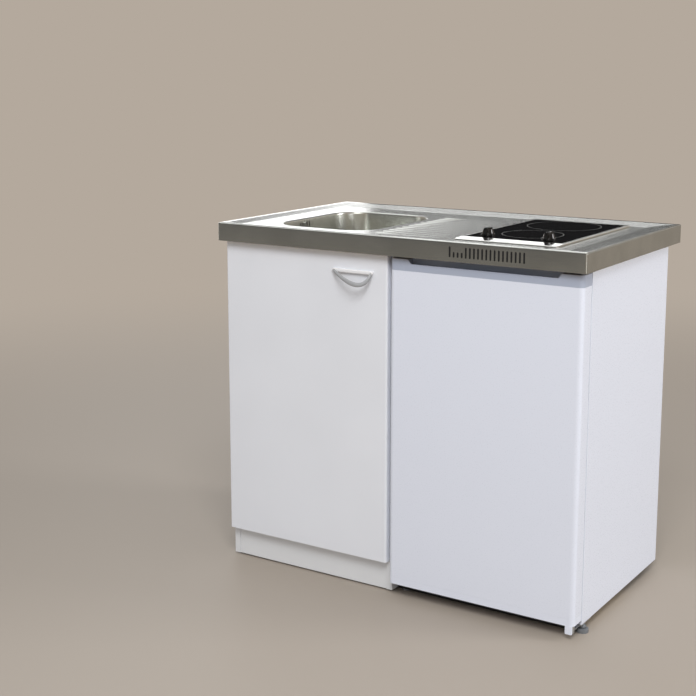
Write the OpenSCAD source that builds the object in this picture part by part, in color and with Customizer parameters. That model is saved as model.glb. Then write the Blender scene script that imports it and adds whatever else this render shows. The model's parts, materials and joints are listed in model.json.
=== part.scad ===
// Kitchenette unit: a pressed steel worktop with sink bowl, drainer and a two-zone glass hob,
// carried by a sink cabinet on the left and an under-counter refrigerator on the right.
// Millimetres. The origin is the middle of the footprint on the floor, the front faces -Y.

/* [Worktop] */
// Width of the worktop
worktop_w = 1000; // [980:10:1100]
// Depth of the worktop
worktop_d = 600; // [590:5:650]
// Height of the worktop surface above the floor
worktop_top = 890; // [870:5:930]
// Height of the folded edge round the worktop
apron_h = 46; // [44:1:60]
// Thickness of the steel sheet
sheet_t = 1; // [0.8:0.1:1.5]
// How far the worktop stands out past the cabinets on each side
side_overhang = 12; // [6:1:20]
// Width of the raised rim at the front and the sides
rim_w = 20; // [14:1:30]
// Width of the raised ledge along the back
back_ledge_w = 52; // [30:2:58]
// How far the field is pressed down below the rim
field_drop = 3; // [2:0.5:4]
// Corner radius of the pressed field
field_r = 14; // [8:1:30]
// Thickness of the battens that stiffen the sheet
batten_t = 26; // [20:1:30]
// Distance from the batten between bowl and hob to the hob frame
batten_gap = 12; // [4:2:30]

/* [Drainer] */
// Number of pressed drainer ribs
rib_count = 12; // [6:1:12]
// Distance from one rib to the next
rib_pitch = 31; // [20:1:32]
// Width of a rib
rib_w = 11; // [6:1:16]
// Height of a rib
rib_h = 1.4; // [0.8:0.2:2]
// Distance from the end of the ribs to the hob frame
rib_end_gap = 38; // [20:2:110]
// Gap between the bowl and the start of the ribs
rib_gap = 28; // [15:1:40]

/* [Vent slots] */
// Number of vent slots in the front edge
vent_count = 19; // [5:1:19]
// Distance from one vent slot to the next
vent_pitch = 10.3; // [8:0.1:11]
// Height of a vent slot
vent_len = 24.5; // [15:0.5:26]
// Width of a vent slot
vent_w = 3.2; // [2:0.1:3.6]

/* [Sink] */
// Width of the bowl from left to right
bowl_w = 275; // [240:5:290]
// Length of the bowl from front to back
bowl_l = 355; // [300:5:380]
// Depth of the bowl
bowl_depth = 150; // [120:5:180]
// Corner radius of the bowl
bowl_r = 75; // [60:1:90]
// Distance from the left edge of the worktop to the bowl
bowl_x = 125; // [100:5:135]
// Distance from the front edge of the worktop to the bowl
bowl_y = 65; // [60:1:80]
// How far the bowl wall leans in
bowl_draft = 10; // [4:1:16]
// Radius between the bowl wall and its floor
bowl_fillet = 28; // [20:1:36]
// Width of the bowl flange below the sheet
bowl_flange = 9; // [6:1:12]
// Radius of the waste hole
waste_hole_r = 44; // [42:1:46]
// Wall of the waste fitting and its basket
waste_wall = 2.5; // [2:0.5:3]
// How far the strainer basket lifts out
basket_lift = 60; // [50:5:100]
// Distance from the front edge to the middle of the overflow
overflow_y = 207; // [180:1:300]
// Radius of the waste pipe
pipe_r = 20; // [16:1:25]

/* [Hob] */
// Width of the hob frame
hob_w = 260; // [250:5:290]
// Length of the hob frame
hob_l = 435; // [430:5:450]
// Distance from the right edge of the worktop to the hob frame
hob_right = 94; // [60:1:110]
// Distance from the front edge to the hob frame
hob_y = 58; // [50:1:66]
// Width of the steel strip in front of the glass
hob_front_strip = 34; // [20:1:40]
// Width of the steel strip at the other three sides
hob_rim = 9; // [8:1:12]
// Height of the hob frame above the field
hob_frame_h = 5; // [4:0.5:8]
// Thickness of the ceramic glass
glass_t = 4; // [3.5:0.5:5]
// Radius of the rear cooking zone
rear_zone_r = 90; // [80:1:92]
// Radius of the front cooking zone
front_zone_r = 72; // [60:1:75]
// Depth of the hob housing below the field
hob_pan_h = 37; // [34:1:37]
// Radius of a control knob
knob_r = 16; // [14:0.5:18]
// Height of a control knob
knob_h = 18; // [14:1:24]
// Distance between the two knobs
knob_spacing = 154; // [140:2:170]
// Distance from the front and the back of the hob frame to its clamps
clamp_y = 135; // [60:5:150]
// Distance from the front of the hob frame to the knobs
knob_y = 70; // [62:1:74]
// Radius of a control shaft
shaft_r = 3; // [2.5:0.5:4]

/* [Sink cabinet] */
// Width of the sink cabinet
cabinet_w = 486; // [450:2:500]
// Distance from the worktop's back edge to the back of the cabinet sides
carcass_back = 62; // [54:2:90]
// Distance from the worktop's front edge to the cabinet sides
carcass_front = 38; // [36:1:48]
// Thickness of the chipboard
board_t = 16; // [15:1:19]
// Thickness of the cabinet door
door_t = 18; // [16:1:19]
// Gap between the closed door and the cabinet sides
door_gap = 2; // [1.5:0.5:3]
// Height of the door's lower edge above the floor
door_bottom = 80; // [70:5:110]
// Height of the furniture glides
glide_h = 4; // [3:1:8]
// Width of the handle
handle_w = 116; // [100:2:140]
// How far the handle stands out from the door
handle_out = 32; // [26:1:40]
// How far the handle's bow hangs below its rail
handle_drop = 27; // [20:1:45]

/* [Refrigerator] */
// Gap between the cabinet and the refrigerator
unit_gap = 3; // [2:0.5:6]
// Distance from the worktop's front edge to the refrigerator door
fridge_setback = 14; // [10:1:20]
// Thickness of the refrigerator door
fridge_door_t = 46; // [40:1:50]
// Gap between the refrigerator door and its body
seal_gap = 3.5; // [3:0.5:5]
// Distance from the worktop's back edge to the back of the refrigerator
fridge_back_gap = 55; // [40:5:70]
// Height of the refrigerator body above the floor
fridge_foot_h = 22; // [20:1:28]
// Gap between the floor and the black rail below the refrigerator's front
rail_lift = 4; // [2:1:8]
// Height of the refrigerator door's lower edge above the floor
fridge_door_bottom = 34; // [32:1:44]
// Thickness of the insulated side walls
fridge_wall = 30; // [26:1:40]
// Height of the plastic strip along the door's top
top_trim_h = 27.5; // [24:0.5:40]
// Depth of the hand grip cut into that strip
grip_h = 10.5; // [9:0.5:15]
// Depth of the insulated back with the compressor bay's slope
fridge_back = 95; // [80:5:110]
// Depth of the step over the compressor at the foot of the larder
hump_d = 120; // [100:5:140]
// Height of the step over the compressor
hump_h = 175; // [160:5:200]
// Height of the lower shelf above the larder's floor
shelf_low = 355; // [300:5:380]
// Height of the upper shelf above the larder's floor
shelf_high = 535; // [500:5:570]
// Height of the lower door rack above the larder's floor
rack_low = 24; // [20:2:60]
// Height of the upper door rack above the larder's floor
rack_high = 440; // [380:5:480]
// Distance from the drawer's sides to its grip lip
drawer_grip = 60; // [30:5:90]
// Radius of the door's upright front edges
door_edge_r = 12; // [6:1:13]
// Radius of the hinge pins
pin_r = 4; // [3:0.5:5]
// Distance from the refrigerator's side to its hinge pins
pin_inset = 12; // [12:1:16]
// Distance between the refrigerator body and the axis of its hinge pins
pin_out = 29.5; // [29.5:0.5:31]
// Height of the door racks' walls
rack_h = 62; // [40:2:80]
// Thickness of the racks' and the drawer's plastic walls
rack_wall = 2.5; // [2:0.5:3]

/* [Hidden] */
$fn = 48;

// Clearances
slip = 0.3;          // between pieces that lie beside each other
run = 0.05;          // radial, between a shaft or pin and its hole
e = 1;               // how far a cut runs past the face it opens

// Main planes. x_left and y_front are the worktop's left and front edges.
handle_reach = max(0, handle_out - carcass_front + door_t + door_gap);
x_left = -worktop_w / 2;
x_right = worktop_w / 2;
y_front = (handle_reach - worktop_d) / 2;
y_back = y_front + worktop_d;
z_field = worktop_top - field_drop;
z_carcass = worktop_top - apron_h;

// Sink bowl
bowl_x0 = x_left + bowl_x;
bowl_y0 = y_front + bowl_y;
bowl_cx = bowl_x0 + bowl_w / 2;
bowl_cy = bowl_y0 + bowl_l / 2;
bowl_top = z_field - sheet_t;
z_bowl_floor = bowl_top - bowl_depth;
overflow_cy = y_front + overflow_y;
overflow_slot_h = 16;
overflow_slot_w = 4;
overflow_pitch = 10;
overflow_top = bowl_top - 7;
overflow_screw_z = overflow_top - 4;
overflow_box_h = 34;
overflow_box_w = 66;
overflow_box_d = 16;
box_wall = 2;
overflow_screw_r = 2.5;
overflow_head_r = 4.6;
overflow_seat = bowl_draft * (bowl_top - overflow_screw_z + overflow_head_r) / (bowl_depth - bowl_fillet) + 0.02;
overflow_pipe_r = 10;
elbow_r = 16;
waste_flange_r = waste_hole_r + 12;
waste_flange_t = 1.5;
cup_r = waste_hole_r - 2;
cup_depth = 50;
nut_h = 6;
z_nut = z_bowl_floor - sheet_t - nut_h;
z_tail = z_bowl_floor - cup_depth - 22;
z_overflow_in = z_bowl_floor - 32;
overflow_socket_x = bowl_cx - cup_r - 16;
overflow_pipe_x = bowl_x0 - sheet_t - overflow_box_d / 2 - slip;

// Trap
trap_neck_r = pipe_r + 4;
trap_neck_h = 40;
trap_r = 36;
trap_h = 95;
z_trap_top = z_tail + 14 - trap_neck_h;
z_trap_out = z_trap_top - 26;
z_trap_bottom = z_trap_top - trap_h;
trap_socket = trap_r + 18;
socket_depth = 15;
spigot_r = pipe_r - 0.5;
wall_pipe_end = y_back - 28;

// Hob
hob_x0 = x_right - hob_right - hob_w;
hob_x1 = hob_x0 + hob_w;
hob_y0 = y_front + hob_y;
hob_y1 = hob_y0 + hob_l;
hob_cx = hob_x0 + hob_w / 2;
cutout_inset = 10;
pan_inset = cutout_inset + 4;
pan_t = 1;
glass_gap = 0.4;
ledge_w = 7;
ledge_h = hob_frame_h - glass_t - 0.2;
z_glass = z_field + ledge_h;
z_glass_top = z_glass + glass_t;
z_pan = z_field - hob_pan_h;
rear_zone_cy = hob_y1 - pan_inset - pan_t - rear_zone_r;
front_zone_cy = rear_zone_cy - rear_zone_r - front_zone_r - 19;
knob_cy = hob_y0 + knob_y;
knob_gap = 1;
regulator_a = 32;
vent_x = hob_cx - 16;
vent_cz = worktop_top - apron_h / 2 - 0.5;

// Drainer
rib_x = bowl_x0 + bowl_w + rib_gap;
rib_y = y_front + rim_w + field_r + 32;
rib_len = hob_x0 - rib_end_gap - rib_x;

// Sink cabinet
cab_x0 = x_left + side_overhang;
cab_x1 = cab_x0 + cabinet_w;
cab_y0 = y_front + carcass_front;
cab_y1 = y_back - carcass_back;
door_y1 = cab_y0 - door_gap;
door_y0 = door_y1 - door_t;
door_x0 = cab_x0 + 1;
door_x1 = cab_x1 - 6;
door_top = z_carcass - 3;
cabinet_floor_z = door_bottom + 4;
back_t = 3;
rail_h = 60;
plinth_inset = 2;
outlet_cut_w = 130;
outlet_cut_z = z_trap_out - 70;
cup_hole_r = 17.5;
cup_hole_depth = 12;
cup_x = door_x0 + 22;
cup_margin = 95;
cup_z = [door_bottom + cup_margin, door_top - cup_margin];
handle_x1 = door_x1 - 38;
handle_x0 = handle_x1 - handle_w;
handle_z = door_top - 45;
handle_rail_h = 9;
handle_rail_t = 7;
handle_screw_inset = 10;
screw_r = 2;
bumper_r = 5;

// Refrigerator body
fr_x0 = cab_x1 + unit_gap;
fr_x1 = x_right - side_overhang;
fr_y0 = y_front + fridge_setback + fridge_door_t + seal_gap;
fr_y1 = y_back - fridge_back_gap;
fr_z0 = fridge_foot_h;
fr_z1 = z_carcass - 5;
skin = 1;
flange_w = 14;
liner_t = 2;
inner_x0 = fr_x0 + fridge_wall + liner_t;
inner_x1 = fr_x1 - fridge_wall - liner_t;
inner_y1 = fr_y1 - fridge_back;
inner_z0 = fr_z0 + 53;
inner_z1 = fr_z1 - 28;
hump_y = inner_y1 - hump_d;
hump_z = inner_z0 + hump_h;
foam_y1 = fr_y1 - 40;
bay_y0 = hump_y + 42;
bay_z1 = hump_z - 35;
bay_cx = (fr_x0 + fr_x1) / 2;
bay_cy = (bay_y0 + fr_y1) / 2 - 8;
base_t = 2;
compressor_r = 66;
compressor_z0 = fr_z0 + 10;
compressor_h = 150;

// Refrigerator door, closed
fd_x0 = fr_x0 + slip;
fd_x1 = fr_x1;
fd_y0 = y_front + fridge_setback;
fd_y1 = fd_y0 + fridge_door_t;
fd_z0 = fridge_door_bottom;
fd_z1 = fr_z1 - 1.5;
trim_z = fd_z1 - top_trim_h;
bottom_trim_h = 16;
btrim_z = fd_z0 + bottom_trim_h;
pin_x = fr_x1 - pin_inset;
pin_y = fr_y0 - pin_out;
hinge_t = 3;
hinge_w = 7;
lug_t = 6;
grip_margin = 56;
grip_lip_t = 4;
gasket_w = 12;
gasket_inset = 15;
dyke_w = 12;
dyke_h = 14;
rack_x0 = inner_x0 + 20;
rack_x1 = pin_x - 54;
rack_y0 = fd_y1;
rack_y1 = fr_y0 + 62;
rack_z = [inner_z0 + rack_low, inner_z0 + rack_high];

// Inside of the refrigerator
contents_y0 = rack_y1 + 12;
ledge_rib = 6;
shelf_t = 4;
shelf_z = [inner_z0 + shelf_low, inner_z0 + shelf_high];
drawer_x0 = inner_x0 + 12;
drawer_x1 = pin_x - 64;
drawer_y1 = hump_y - 4;
drawer_h = hump_z - inner_z0 - 14;
thermo_y0 = contents_y0 + 14;
thermo_d = 96;
thermo_w = 34;
thermo_h = 62;
thermo_z0 = inner_z1 - thermo_h - 26;
lamp_d = 58;
thermo_knob_r = 17;

// ---------- shared shapes ----------

// A box between two opposite corners
module block(low, high) { translate(low) cube(high - low); }

// A rectangle with round corners, from the origin
module rounded_rect(w, l, r) {
    translate([r, 0]) square([w - 2 * r, l]);
    translate([0, r]) square([w, l - 2 * r]);
    for (x = [r, w - r], y = [r, l - r]) translate([x, y]) circle(r = r);
}

// A plate with round corners between two heights
module rounded_plate(low, size, r, h) {
    translate(low) linear_extrude(h) rounded_rect(size[0], size[1], r);
}

// A slot outline, upright, centred on the origin
module slot_outline(len, w) {
    square([w, len - w], center = true);
    for (s = [-1, 1]) translate([0, s * (len - w) / 2]) circle(d = w);
}

// Rods along the three axes, starting at the given point
module rod_x(at, r, len) { translate(at) rotate([0, 90, 0]) cylinder(r = r, h = len); }
module rod_y(at, r, len) { translate(at) rotate([-90, 0, 0]) cylinder(r = r, h = len); }
module rod_z(at, r, len) { translate(at) cylinder(r = r, h = len); }

// ---------- worktop ----------

// The outline of the pressed field, grown by a margin
module field_outline(grow) {
    w = worktop_w - 2 * rim_w;
    l = worktop_d - rim_w - back_ledge_w;
    translate([x_left + rim_w - grow, y_front + rim_w - grow])
        rounded_rect(w + 2 * grow, l + 2 * grow, field_r + grow);
}

module vent_slots() {
    for (i = [0 : vent_count - 1])
        translate([vent_x + (i - (vent_count - 1) / 2) * vent_pitch, y_front, vent_cz])
            rotate([90, 0, 0]) linear_extrude(4 * sheet_t, center = true) slot_outline(vent_len, vent_w);
}

module drainer_ribs() {
    for (i = [0 : rib_count - 1])
        translate([rib_x + rib_len / 2, rib_y + i * rib_pitch, z_field])
            rotate([0, 0, 90]) linear_extrude(rib_h) slot_outline(rib_len, rib_w);
}

module worktop() {
    color("#9a9b96") {
        difference() {
            block([x_left, y_front, z_carcass], [x_right, y_back, worktop_top]);
            difference() {
                block([x_left + sheet_t, y_front + sheet_t, z_carcass - e],
                      [x_right - sheet_t, y_back - sheet_t, worktop_top - sheet_t]);
                translate([0, 0, z_field - sheet_t]) linear_extrude(field_drop + 2 * e) field_outline(sheet_t);
            }
            translate([0, 0, z_field]) linear_extrude(field_drop + e) field_outline(0);
            rounded_plate([bowl_x0, bowl_y0, z_field - sheet_t - e], [bowl_w, bowl_l], bowl_r, 3 * e);
            block([hob_x0 + cutout_inset, hob_y0 + cutout_inset, z_field - sheet_t - e],
                  [hob_x1 - cutout_inset, hob_y1 - cutout_inset, z_field + e]);
            vent_slots();
        }
        drainer_ribs();
    }
}

// Chipboard battens between the sheet and the cabinets, open behind the vent slots
module subframe() {
    lo = z_carcass;
    hi = z_field - sheet_t;
    xa = x_left + sheet_t;
    xb = x_right - sheet_t;
    ya = y_front + sheet_t;
    yb = y_back - sheet_t;
    vent_half = vent_count * vent_pitch / 2 + 8;
    front_t = min(batten_t, bowl_y - bowl_flange - 2, hob_y - 2);
    cross_x = hob_x0 - batten_gap - batten_t;
    color("#c9b38c") {
        block([xa, ya, lo], [vent_x - vent_half, ya + front_t, hi]);
        block([vent_x + vent_half, ya, lo], [xb, ya + front_t, hi]);
        block([xa, yb - batten_t, lo], [xb, yb, hi]);
        block([xa, ya + front_t, lo], [xa + batten_t, yb - batten_t, hi]);
        block([xb - batten_t, ya + front_t, lo], [xb, yb - batten_t, hi]);
        block([cross_x, ya + front_t, lo], [cross_x + batten_t, yb - batten_t, hi]);
    }
}

// ---------- sink ----------

// The bowl's solid form: upright walls leaning in, then a round turn into the floor
module bowl_form(t) {
    turn = bowl_depth - bowl_fillet;
    rings = concat([[0, -t]],
        [for (a = [0 : 18 : 90]) [turn + (bowl_fillet + t) * sin(a),
                                  bowl_draft + bowl_fillet - (bowl_fillet + t) * cos(a)]]);
    hull() for (ring = rings)
        translate([bowl_x0 + ring[1], bowl_y0 + ring[1], bowl_top - ring[0]])
            linear_extrude(0.01)
                rounded_rect(bowl_w - 2 * ring[1], bowl_l - 2 * ring[1], max(bowl_r - ring[1], 12), $fn = 32);
}

module overflow_slots() {
    for (i = [-2 : 2]) {
        short = i == 0;
        h = short ? overflow_slot_h / 2 - 1 : overflow_slot_h;
        translate([bowl_x0 - 2 * e, overflow_cy + i * overflow_pitch, overflow_top - overflow_slot_h + h / 2])
            rotate([90, 0, 90]) linear_extrude(bowl_draft + 6) slot_outline(h, overflow_slot_w);
    }
    rod_x([bowl_x0 - 2 * e, overflow_cy, overflow_screw_z], overflow_screw_r + slip, bowl_draft + 6);
}

module sink_bowl() {
    g = bowl_flange;
    color("#a5a6a2") difference() {
        union() {
            rounded_plate([bowl_x0 - g, bowl_y0 - g, bowl_top - sheet_t],
                          [bowl_w + 2 * g, bowl_l + 2 * g], bowl_r + g, sheet_t);
            intersection() {
                bowl_form(sheet_t);
                block([bowl_x0 - 20, bowl_y0 - 20, z_bowl_floor - 20],
                      [bowl_x0 + bowl_w + 20, bowl_y0 + bowl_l + 20, bowl_top]);
            }
        }
        bowl_form(0);
        rounded_plate([bowl_x0, bowl_y0, bowl_top - 0.5], [bowl_w, bowl_l], bowl_r, 1);
        rod_z([bowl_cx, bowl_cy, z_bowl_floor - 20], waste_hole_r, 40);
        overflow_slots();
    }
}

// Waste fitting clamped through the bowl's floor
module strainer_waste() {
    color("#b4b5b2") difference() {
        union() {
            rod_z([bowl_cx, bowl_cy, z_bowl_floor], waste_flange_r, waste_flange_t);
            rod_z([bowl_cx, bowl_cy, z_bowl_floor - cup_depth], cup_r, cup_depth);
            rod_z([bowl_cx, bowl_cy, z_nut], waste_flange_r - 2, nut_h);
            rod_z([bowl_cx, bowl_cy, z_tail], pipe_r, 40);
            rod_x([overflow_socket_x, bowl_cy, z_overflow_in], overflow_pipe_r + 3, cup_r);
        }
        rod_z([bowl_cx, bowl_cy, z_bowl_floor - cup_depth + waste_wall], cup_r - waste_wall, cup_depth + 10);
        rod_z([bowl_cx, bowl_cy, z_tail - e], pipe_r - waste_wall, cup_depth);
        rod_x([overflow_socket_x - e, bowl_cy, z_overflow_in], overflow_pipe_r + run, cup_r);
    }
}

// Perforated basket with a knob, resting by its rim on the waste flange
module strainer_basket() {
    rim_r = waste_flange_r - 5;
    basket_r = cup_r - waste_wall - 1.5;
    z_rim = z_bowl_floor + waste_flange_t;
    z_low = z_bowl_floor - cup_depth + waste_wall + 8;
    color("#b8b9b6") {
        difference() {
            union() {
                rod_z([bowl_cx, bowl_cy, z_rim], rim_r, 1.2);
                rod_z([bowl_cx, bowl_cy, z_low], basket_r, z_rim - z_low);
            }
            rod_z([bowl_cx, bowl_cy, z_low + 1.5], basket_r - 1.5, cup_depth);
            for (i = [0 : 11], r = [14, 25])
                rod_z([bowl_cx + r * cos(i * 30), bowl_cy + r * sin(i * 30), z_low - e], 2.2, 5);
        }
        rod_z([bowl_cx, bowl_cy, z_low + 0.5], 3, z_rim - z_low + 12);
        rod_z([bowl_cx, bowl_cy, z_rim + 8], 9, 6);
    }
}

module overflow_screw() {
    color("#c4c4c2") {
        rod_x([bowl_x0 + overflow_seat, overflow_cy, overflow_screw_z], overflow_head_r, 2);
        rod_x([bowl_x0 - sheet_t - 6, overflow_cy, overflow_screw_z], overflow_screw_r, sheet_t + 8);
    }
}

// Plastic box that catches what runs through the overflow slots
module overflow_box() {
    x1 = bowl_x0 - sheet_t - slip;
    x0 = x1 - overflow_box_d;
    half = overflow_box_w / 2;
    z1 = bowl_top - sheet_t;
    z0 = z1 - overflow_box_h;
    color("#e2e2de") difference() {
        union() {
            block([x0, overflow_cy - half, z0], [x1, overflow_cy + half, z1]);
            rod_z([overflow_pipe_x, overflow_cy, z0 - 12], overflow_pipe_r - 3, 14);
        }
        difference() {
            block([x0 + box_wall, overflow_cy - half + box_wall, z0 + box_wall],
                  [x1 + e, overflow_cy + half - box_wall, z1 - box_wall]);
            rod_x([x0, overflow_cy, overflow_screw_z], overflow_screw_r + 3, overflow_box_d - 1);
        }
        rod_x([x1 - 8, overflow_cy, overflow_screw_z], overflow_screw_r + run, 20);
        rod_z([overflow_pipe_x, overflow_cy, z0 - 20], overflow_pipe_r - 5, 20 + 2 * box_wall);
    }
}

// One limb of pipe: a tube of the overflow pipe's size
module tube_bend(at, turn) {
    translate(at) rotate(turn) rotate_extrude(angle = 90)
        translate([elbow_r, 0]) difference() {
            circle(r = overflow_pipe_r);
            circle(r = overflow_pipe_r - 2.5);
        }
}

// Pipe from the overflow box down, back and into the waste fitting
module overflow_pipe() {
    z_box = bowl_top - sheet_t - overflow_box_h;
    z_bend = z_overflow_in + elbow_r;
    y_run = bowl_cy - elbow_r;
    x = overflow_pipe_x;
    color("#dcdcd8") {
        difference() {
            rod_z([x, overflow_cy, z_bend], overflow_pipe_r, z_box - z_bend);
            rod_z([x, overflow_cy, z_bend - e], overflow_pipe_r - 2.5, z_box - z_bend + 2 * e);
        }
        tube_bend([x, overflow_cy + elbow_r, z_bend], [0, 90, 180]);
        difference() {
            rod_y([x, overflow_cy + elbow_r, z_overflow_in], overflow_pipe_r, y_run - overflow_cy - elbow_r);
            rod_y([x, overflow_cy + elbow_r - e, z_overflow_in], overflow_pipe_r - 2.5, y_run - overflow_cy);
        }
        tube_bend([x + elbow_r, y_run, z_overflow_in], [0, 0, 90]);
        difference() {
            rod_x([x + elbow_r, bowl_cy, z_overflow_in], overflow_pipe_r, overflow_socket_x + 10 - x - elbow_r);
            rod_x([x + elbow_r - e, bowl_cy, z_overflow_in], overflow_pipe_r - 2.5, bowl_w);
        }
    }
}

// Bottle trap with a ribbed cap at its foot
module trap_body() {
    cap_h = 26;
    color("#e6e6e2") difference() {
        union() {
            rod_z([bowl_cx, bowl_cy, z_trap_top - e], trap_neck_r, trap_neck_h + e);
            rod_z([bowl_cx, bowl_cy, z_trap_top + trap_neck_h - 18], trap_neck_r + 5, 18);
            rod_z([bowl_cx, bowl_cy, z_trap_bottom], trap_r, trap_h);
            rod_z([bowl_cx, bowl_cy, z_trap_bottom - 4], trap_r + 4, cap_h);
            for (i = [0 : 11]) rotate_about(bowl_cx, bowl_cy, i * 30)
                block([bowl_cx + trap_r, bowl_cy - 2, z_trap_bottom - 4],
                      [bowl_cx + trap_r + 6, bowl_cy + 2, z_trap_bottom + cap_h - 8]);
            rod_y([bowl_cx, bowl_cy, z_trap_out], trap_neck_r, trap_socket);
        }
        rod_z([bowl_cx, bowl_cy, z_tail], pipe_r + run, 60);
        rod_z([bowl_cx, bowl_cy, z_trap_bottom + 4], pipe_r - 3, trap_h + 20);
        rod_y([bowl_cx, bowl_cy + trap_socket - socket_depth, z_trap_out], spigot_r + run, socket_depth + e);
        rod_y([bowl_cx, bowl_cy, z_trap_out], pipe_r - 3, trap_socket);
    }
}

module rotate_about(x, y, a) {
    translate([x, y, 0]) rotate([0, 0, a]) translate([-x, -y, 0]) children();
}

// Waste pipe from the trap through the cabinet's back to the wall
module trap_outlet() {
    y0 = bowl_cy + trap_socket - socket_depth;
    color("#ececea") difference() {
        union() {
            rod_y([bowl_cx, y0, z_trap_out], spigot_r, socket_depth + 2);
            rod_y([bowl_cx, y0 + socket_depth + 2, z_trap_out], pipe_r, wall_pipe_end - y0 - socket_depth - 2);
            rod_y([bowl_cx, bowl_cy + trap_socket + slip, z_trap_out], trap_neck_r + 5, 18);
        }
        rod_y([bowl_cx, y0 - e, z_trap_out], pipe_r - waste_wall, worktop_d);
    }
}

// ---------- hob ----------

module hob_frame() {
    color("#c3c4c4") difference() {
        rounded_plate([hob_x0, hob_y0, z_field], [hob_w, hob_l], 4, hob_frame_h);
        block([hob_x0 + hob_rim, hob_y0 + hob_front_strip, z_glass],
              [hob_x1 - hob_rim, hob_y1 - hob_rim, z_field + 2 * hob_frame_h]);
        block([hob_x0 + hob_rim + ledge_w, hob_y0 + hob_front_strip + ledge_w, z_field - e],
              [hob_x1 - hob_rim - ledge_w, hob_y1 - hob_rim - ledge_w, z_glass + e]);
    }
}

module hob_glass() {
    color("#0b0b0c") difference() {
        block([hob_x0 + hob_rim + glass_gap, hob_y0 + hob_front_strip + glass_gap, z_glass],
              [hob_x1 - hob_rim - glass_gap, hob_y1 - hob_rim - glass_gap, z_glass_top]);
        for (s = [-1, 1]) rod_z([hob_cx + s * knob_spacing / 2, knob_cy, z_glass - e], shaft_r + 1, glass_t + 2 * e);
    }
}

// Sheet housing below the glass, open at the top
module hob_pan() {
    x0 = hob_x0 + pan_inset;
    x1 = hob_x1 - pan_inset;
    y0 = hob_y0 + pan_inset;
    y1 = hob_y1 - pan_inset;
    color("#8f9294") difference() {
        block([x0, y0, z_pan], [x1, y1, z_field]);
        block([x0 + pan_t, y0 + pan_t, z_pan + pan_t], [x1 - pan_t, y1 - pan_t, z_field + e]);
        rod_x([x0 - e, hob_y1 - 60, z_field - 20], 5 + run, 4);
    }
}

// Round heating element: an insulating dish on a bracket
module heater(cy, r) {
    dish_h = 16;
    wall = 8;
    z1 = z_glass - slip;
    color("#8a7f76") {
        difference() {
            rod_z([hob_cx, cy, z1 - dish_h], r - 2, dish_h);
            rod_z([hob_cx, cy, z1 - dish_h + 6], r - 2 - wall, dish_h);
        }
        rod_z([hob_cx, cy, z_pan + pan_t], 9, z1 - dish_h - z_pan - pan_t + 1);
        for (turn = [1 : 3])
            rod_ring([hob_cx, cy, z1 - dish_h + 7], (r - 2 - wall) * turn / 3.6, 2);
    }
}

// A flat ring of round wire
module rod_ring(at, ring_r, r) {
    translate(at) rotate_extrude() translate([ring_r, 0]) circle(r = r, $fn = 16);
}

module heater_rear() { heater(rear_zone_cy, rear_zone_r); }
module heater_front() { heater(front_zone_cy, front_zone_r); }

// Control knob: a round skirt and a raised grip bar with a bored hub
module knob(x) {
    z0 = z_glass_top + knob_gap;
    skirt_h = 5;
    grip_w = 9;
    color("#161617") difference() {
        union() {
            rod_z([x, knob_cy, z0], knob_r, skirt_h);
            translate([x, knob_cy, z0 + skirt_h - 0.5])
                cylinder(r1 = knob_r - 2, r2 = knob_r - 4.5, h = knob_h - skirt_h - 3);
            intersection() {
                rod_z([x, knob_cy, z0], knob_r - 1, knob_h);
                block([x - grip_w / 2, knob_cy - knob_r, z0], [x + grip_w / 2, knob_cy + knob_r, z0 + knob_h]);
            }
        }
        rod_z([x, knob_cy, z0 - e], shaft_r + run, knob_h - 5);
    }
}
module knob_left() { knob(hob_cx - knob_spacing / 2); }
module knob_right() { knob(hob_cx + knob_spacing / 2); }

// Energy regulator on the floor of the housing, its shaft up through the glass
module regulator(x) {
    a = regulator_a / 2;
    z1 = z_glass - 4;
    color("#d8d2c2") {
        block([x - a, knob_cy - a, z_pan + pan_t], [x + a, knob_cy + a, z1]);
        rod_z([x, knob_cy, z1 - 1], shaft_r, z_glass_top + knob_gap + knob_h - 8 - z1);
    }
}
module regulator_left() { regulator(hob_cx - knob_spacing / 2); }
module regulator_right() { regulator(hob_cx + knob_spacing / 2); }

// Cable gland in the side of the housing
module hob_gland() {
    x = hob_x0 + pan_inset;
    color("#2a2a2c") difference() {
        union() {
            translate([x - 12, hob_y1 - 60, z_field - 20]) rotate([0, 90, 0]) cylinder(r = 10, h = 12, $fn = 6);
            rod_x([x - 18, hob_y1 - 60, z_field - 20], 7, 8);
            rod_x([x - 2, hob_y1 - 60, z_field - 20], 5, 8);
        }
        rod_x([x - 20, hob_y1 - 60, z_field - 20], 3.2, 30);
    }
}

// Four clips that pull the hob down onto the sheet
module hob_clamps() {
    for (s = [-1, 1], y = [hob_y0 + clamp_y, hob_y1 - clamp_y]) {
        x = s < 0 ? hob_x0 + pan_inset : hob_x1 - pan_inset;
        z1 = z_field - sheet_t;
        color("#a8abad") {
            block([min(x, x + s * 1.5), y - 10, z1 - 22], [max(x, x + s * 1.5), y + 10, z1 - 2]);
            block([min(x, x + s * 12), y - 10, z1 - 3.5], [max(x, x + s * 12), y + 10, z1 - 2]);
            block([min(x + s * 10.5, x + s * 12), y - 10, z1 - 3.5], [max(x + s * 10.5, x + s * 12), y + 10, z1]);
        }
    }
}

// ---------- sink cabinet ----------

module cabinet_side(x0) {
    color("#e4e4e4") block([x0, cab_y0, glide_h], [x0 + board_t, cab_y1, z_carcass]);
}
module cabinet_side_left() { cabinet_side(cab_x0); }
module cabinet_side_right() { cabinet_side(cab_x1 - board_t); }

module cabinet_floor() {
    color("#e4e4e4") block([cab_x0 + board_t, cab_y0, cabinet_floor_z],
                           [cab_x1 - board_t, cab_y1, cabinet_floor_z + board_t]);
}

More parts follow.
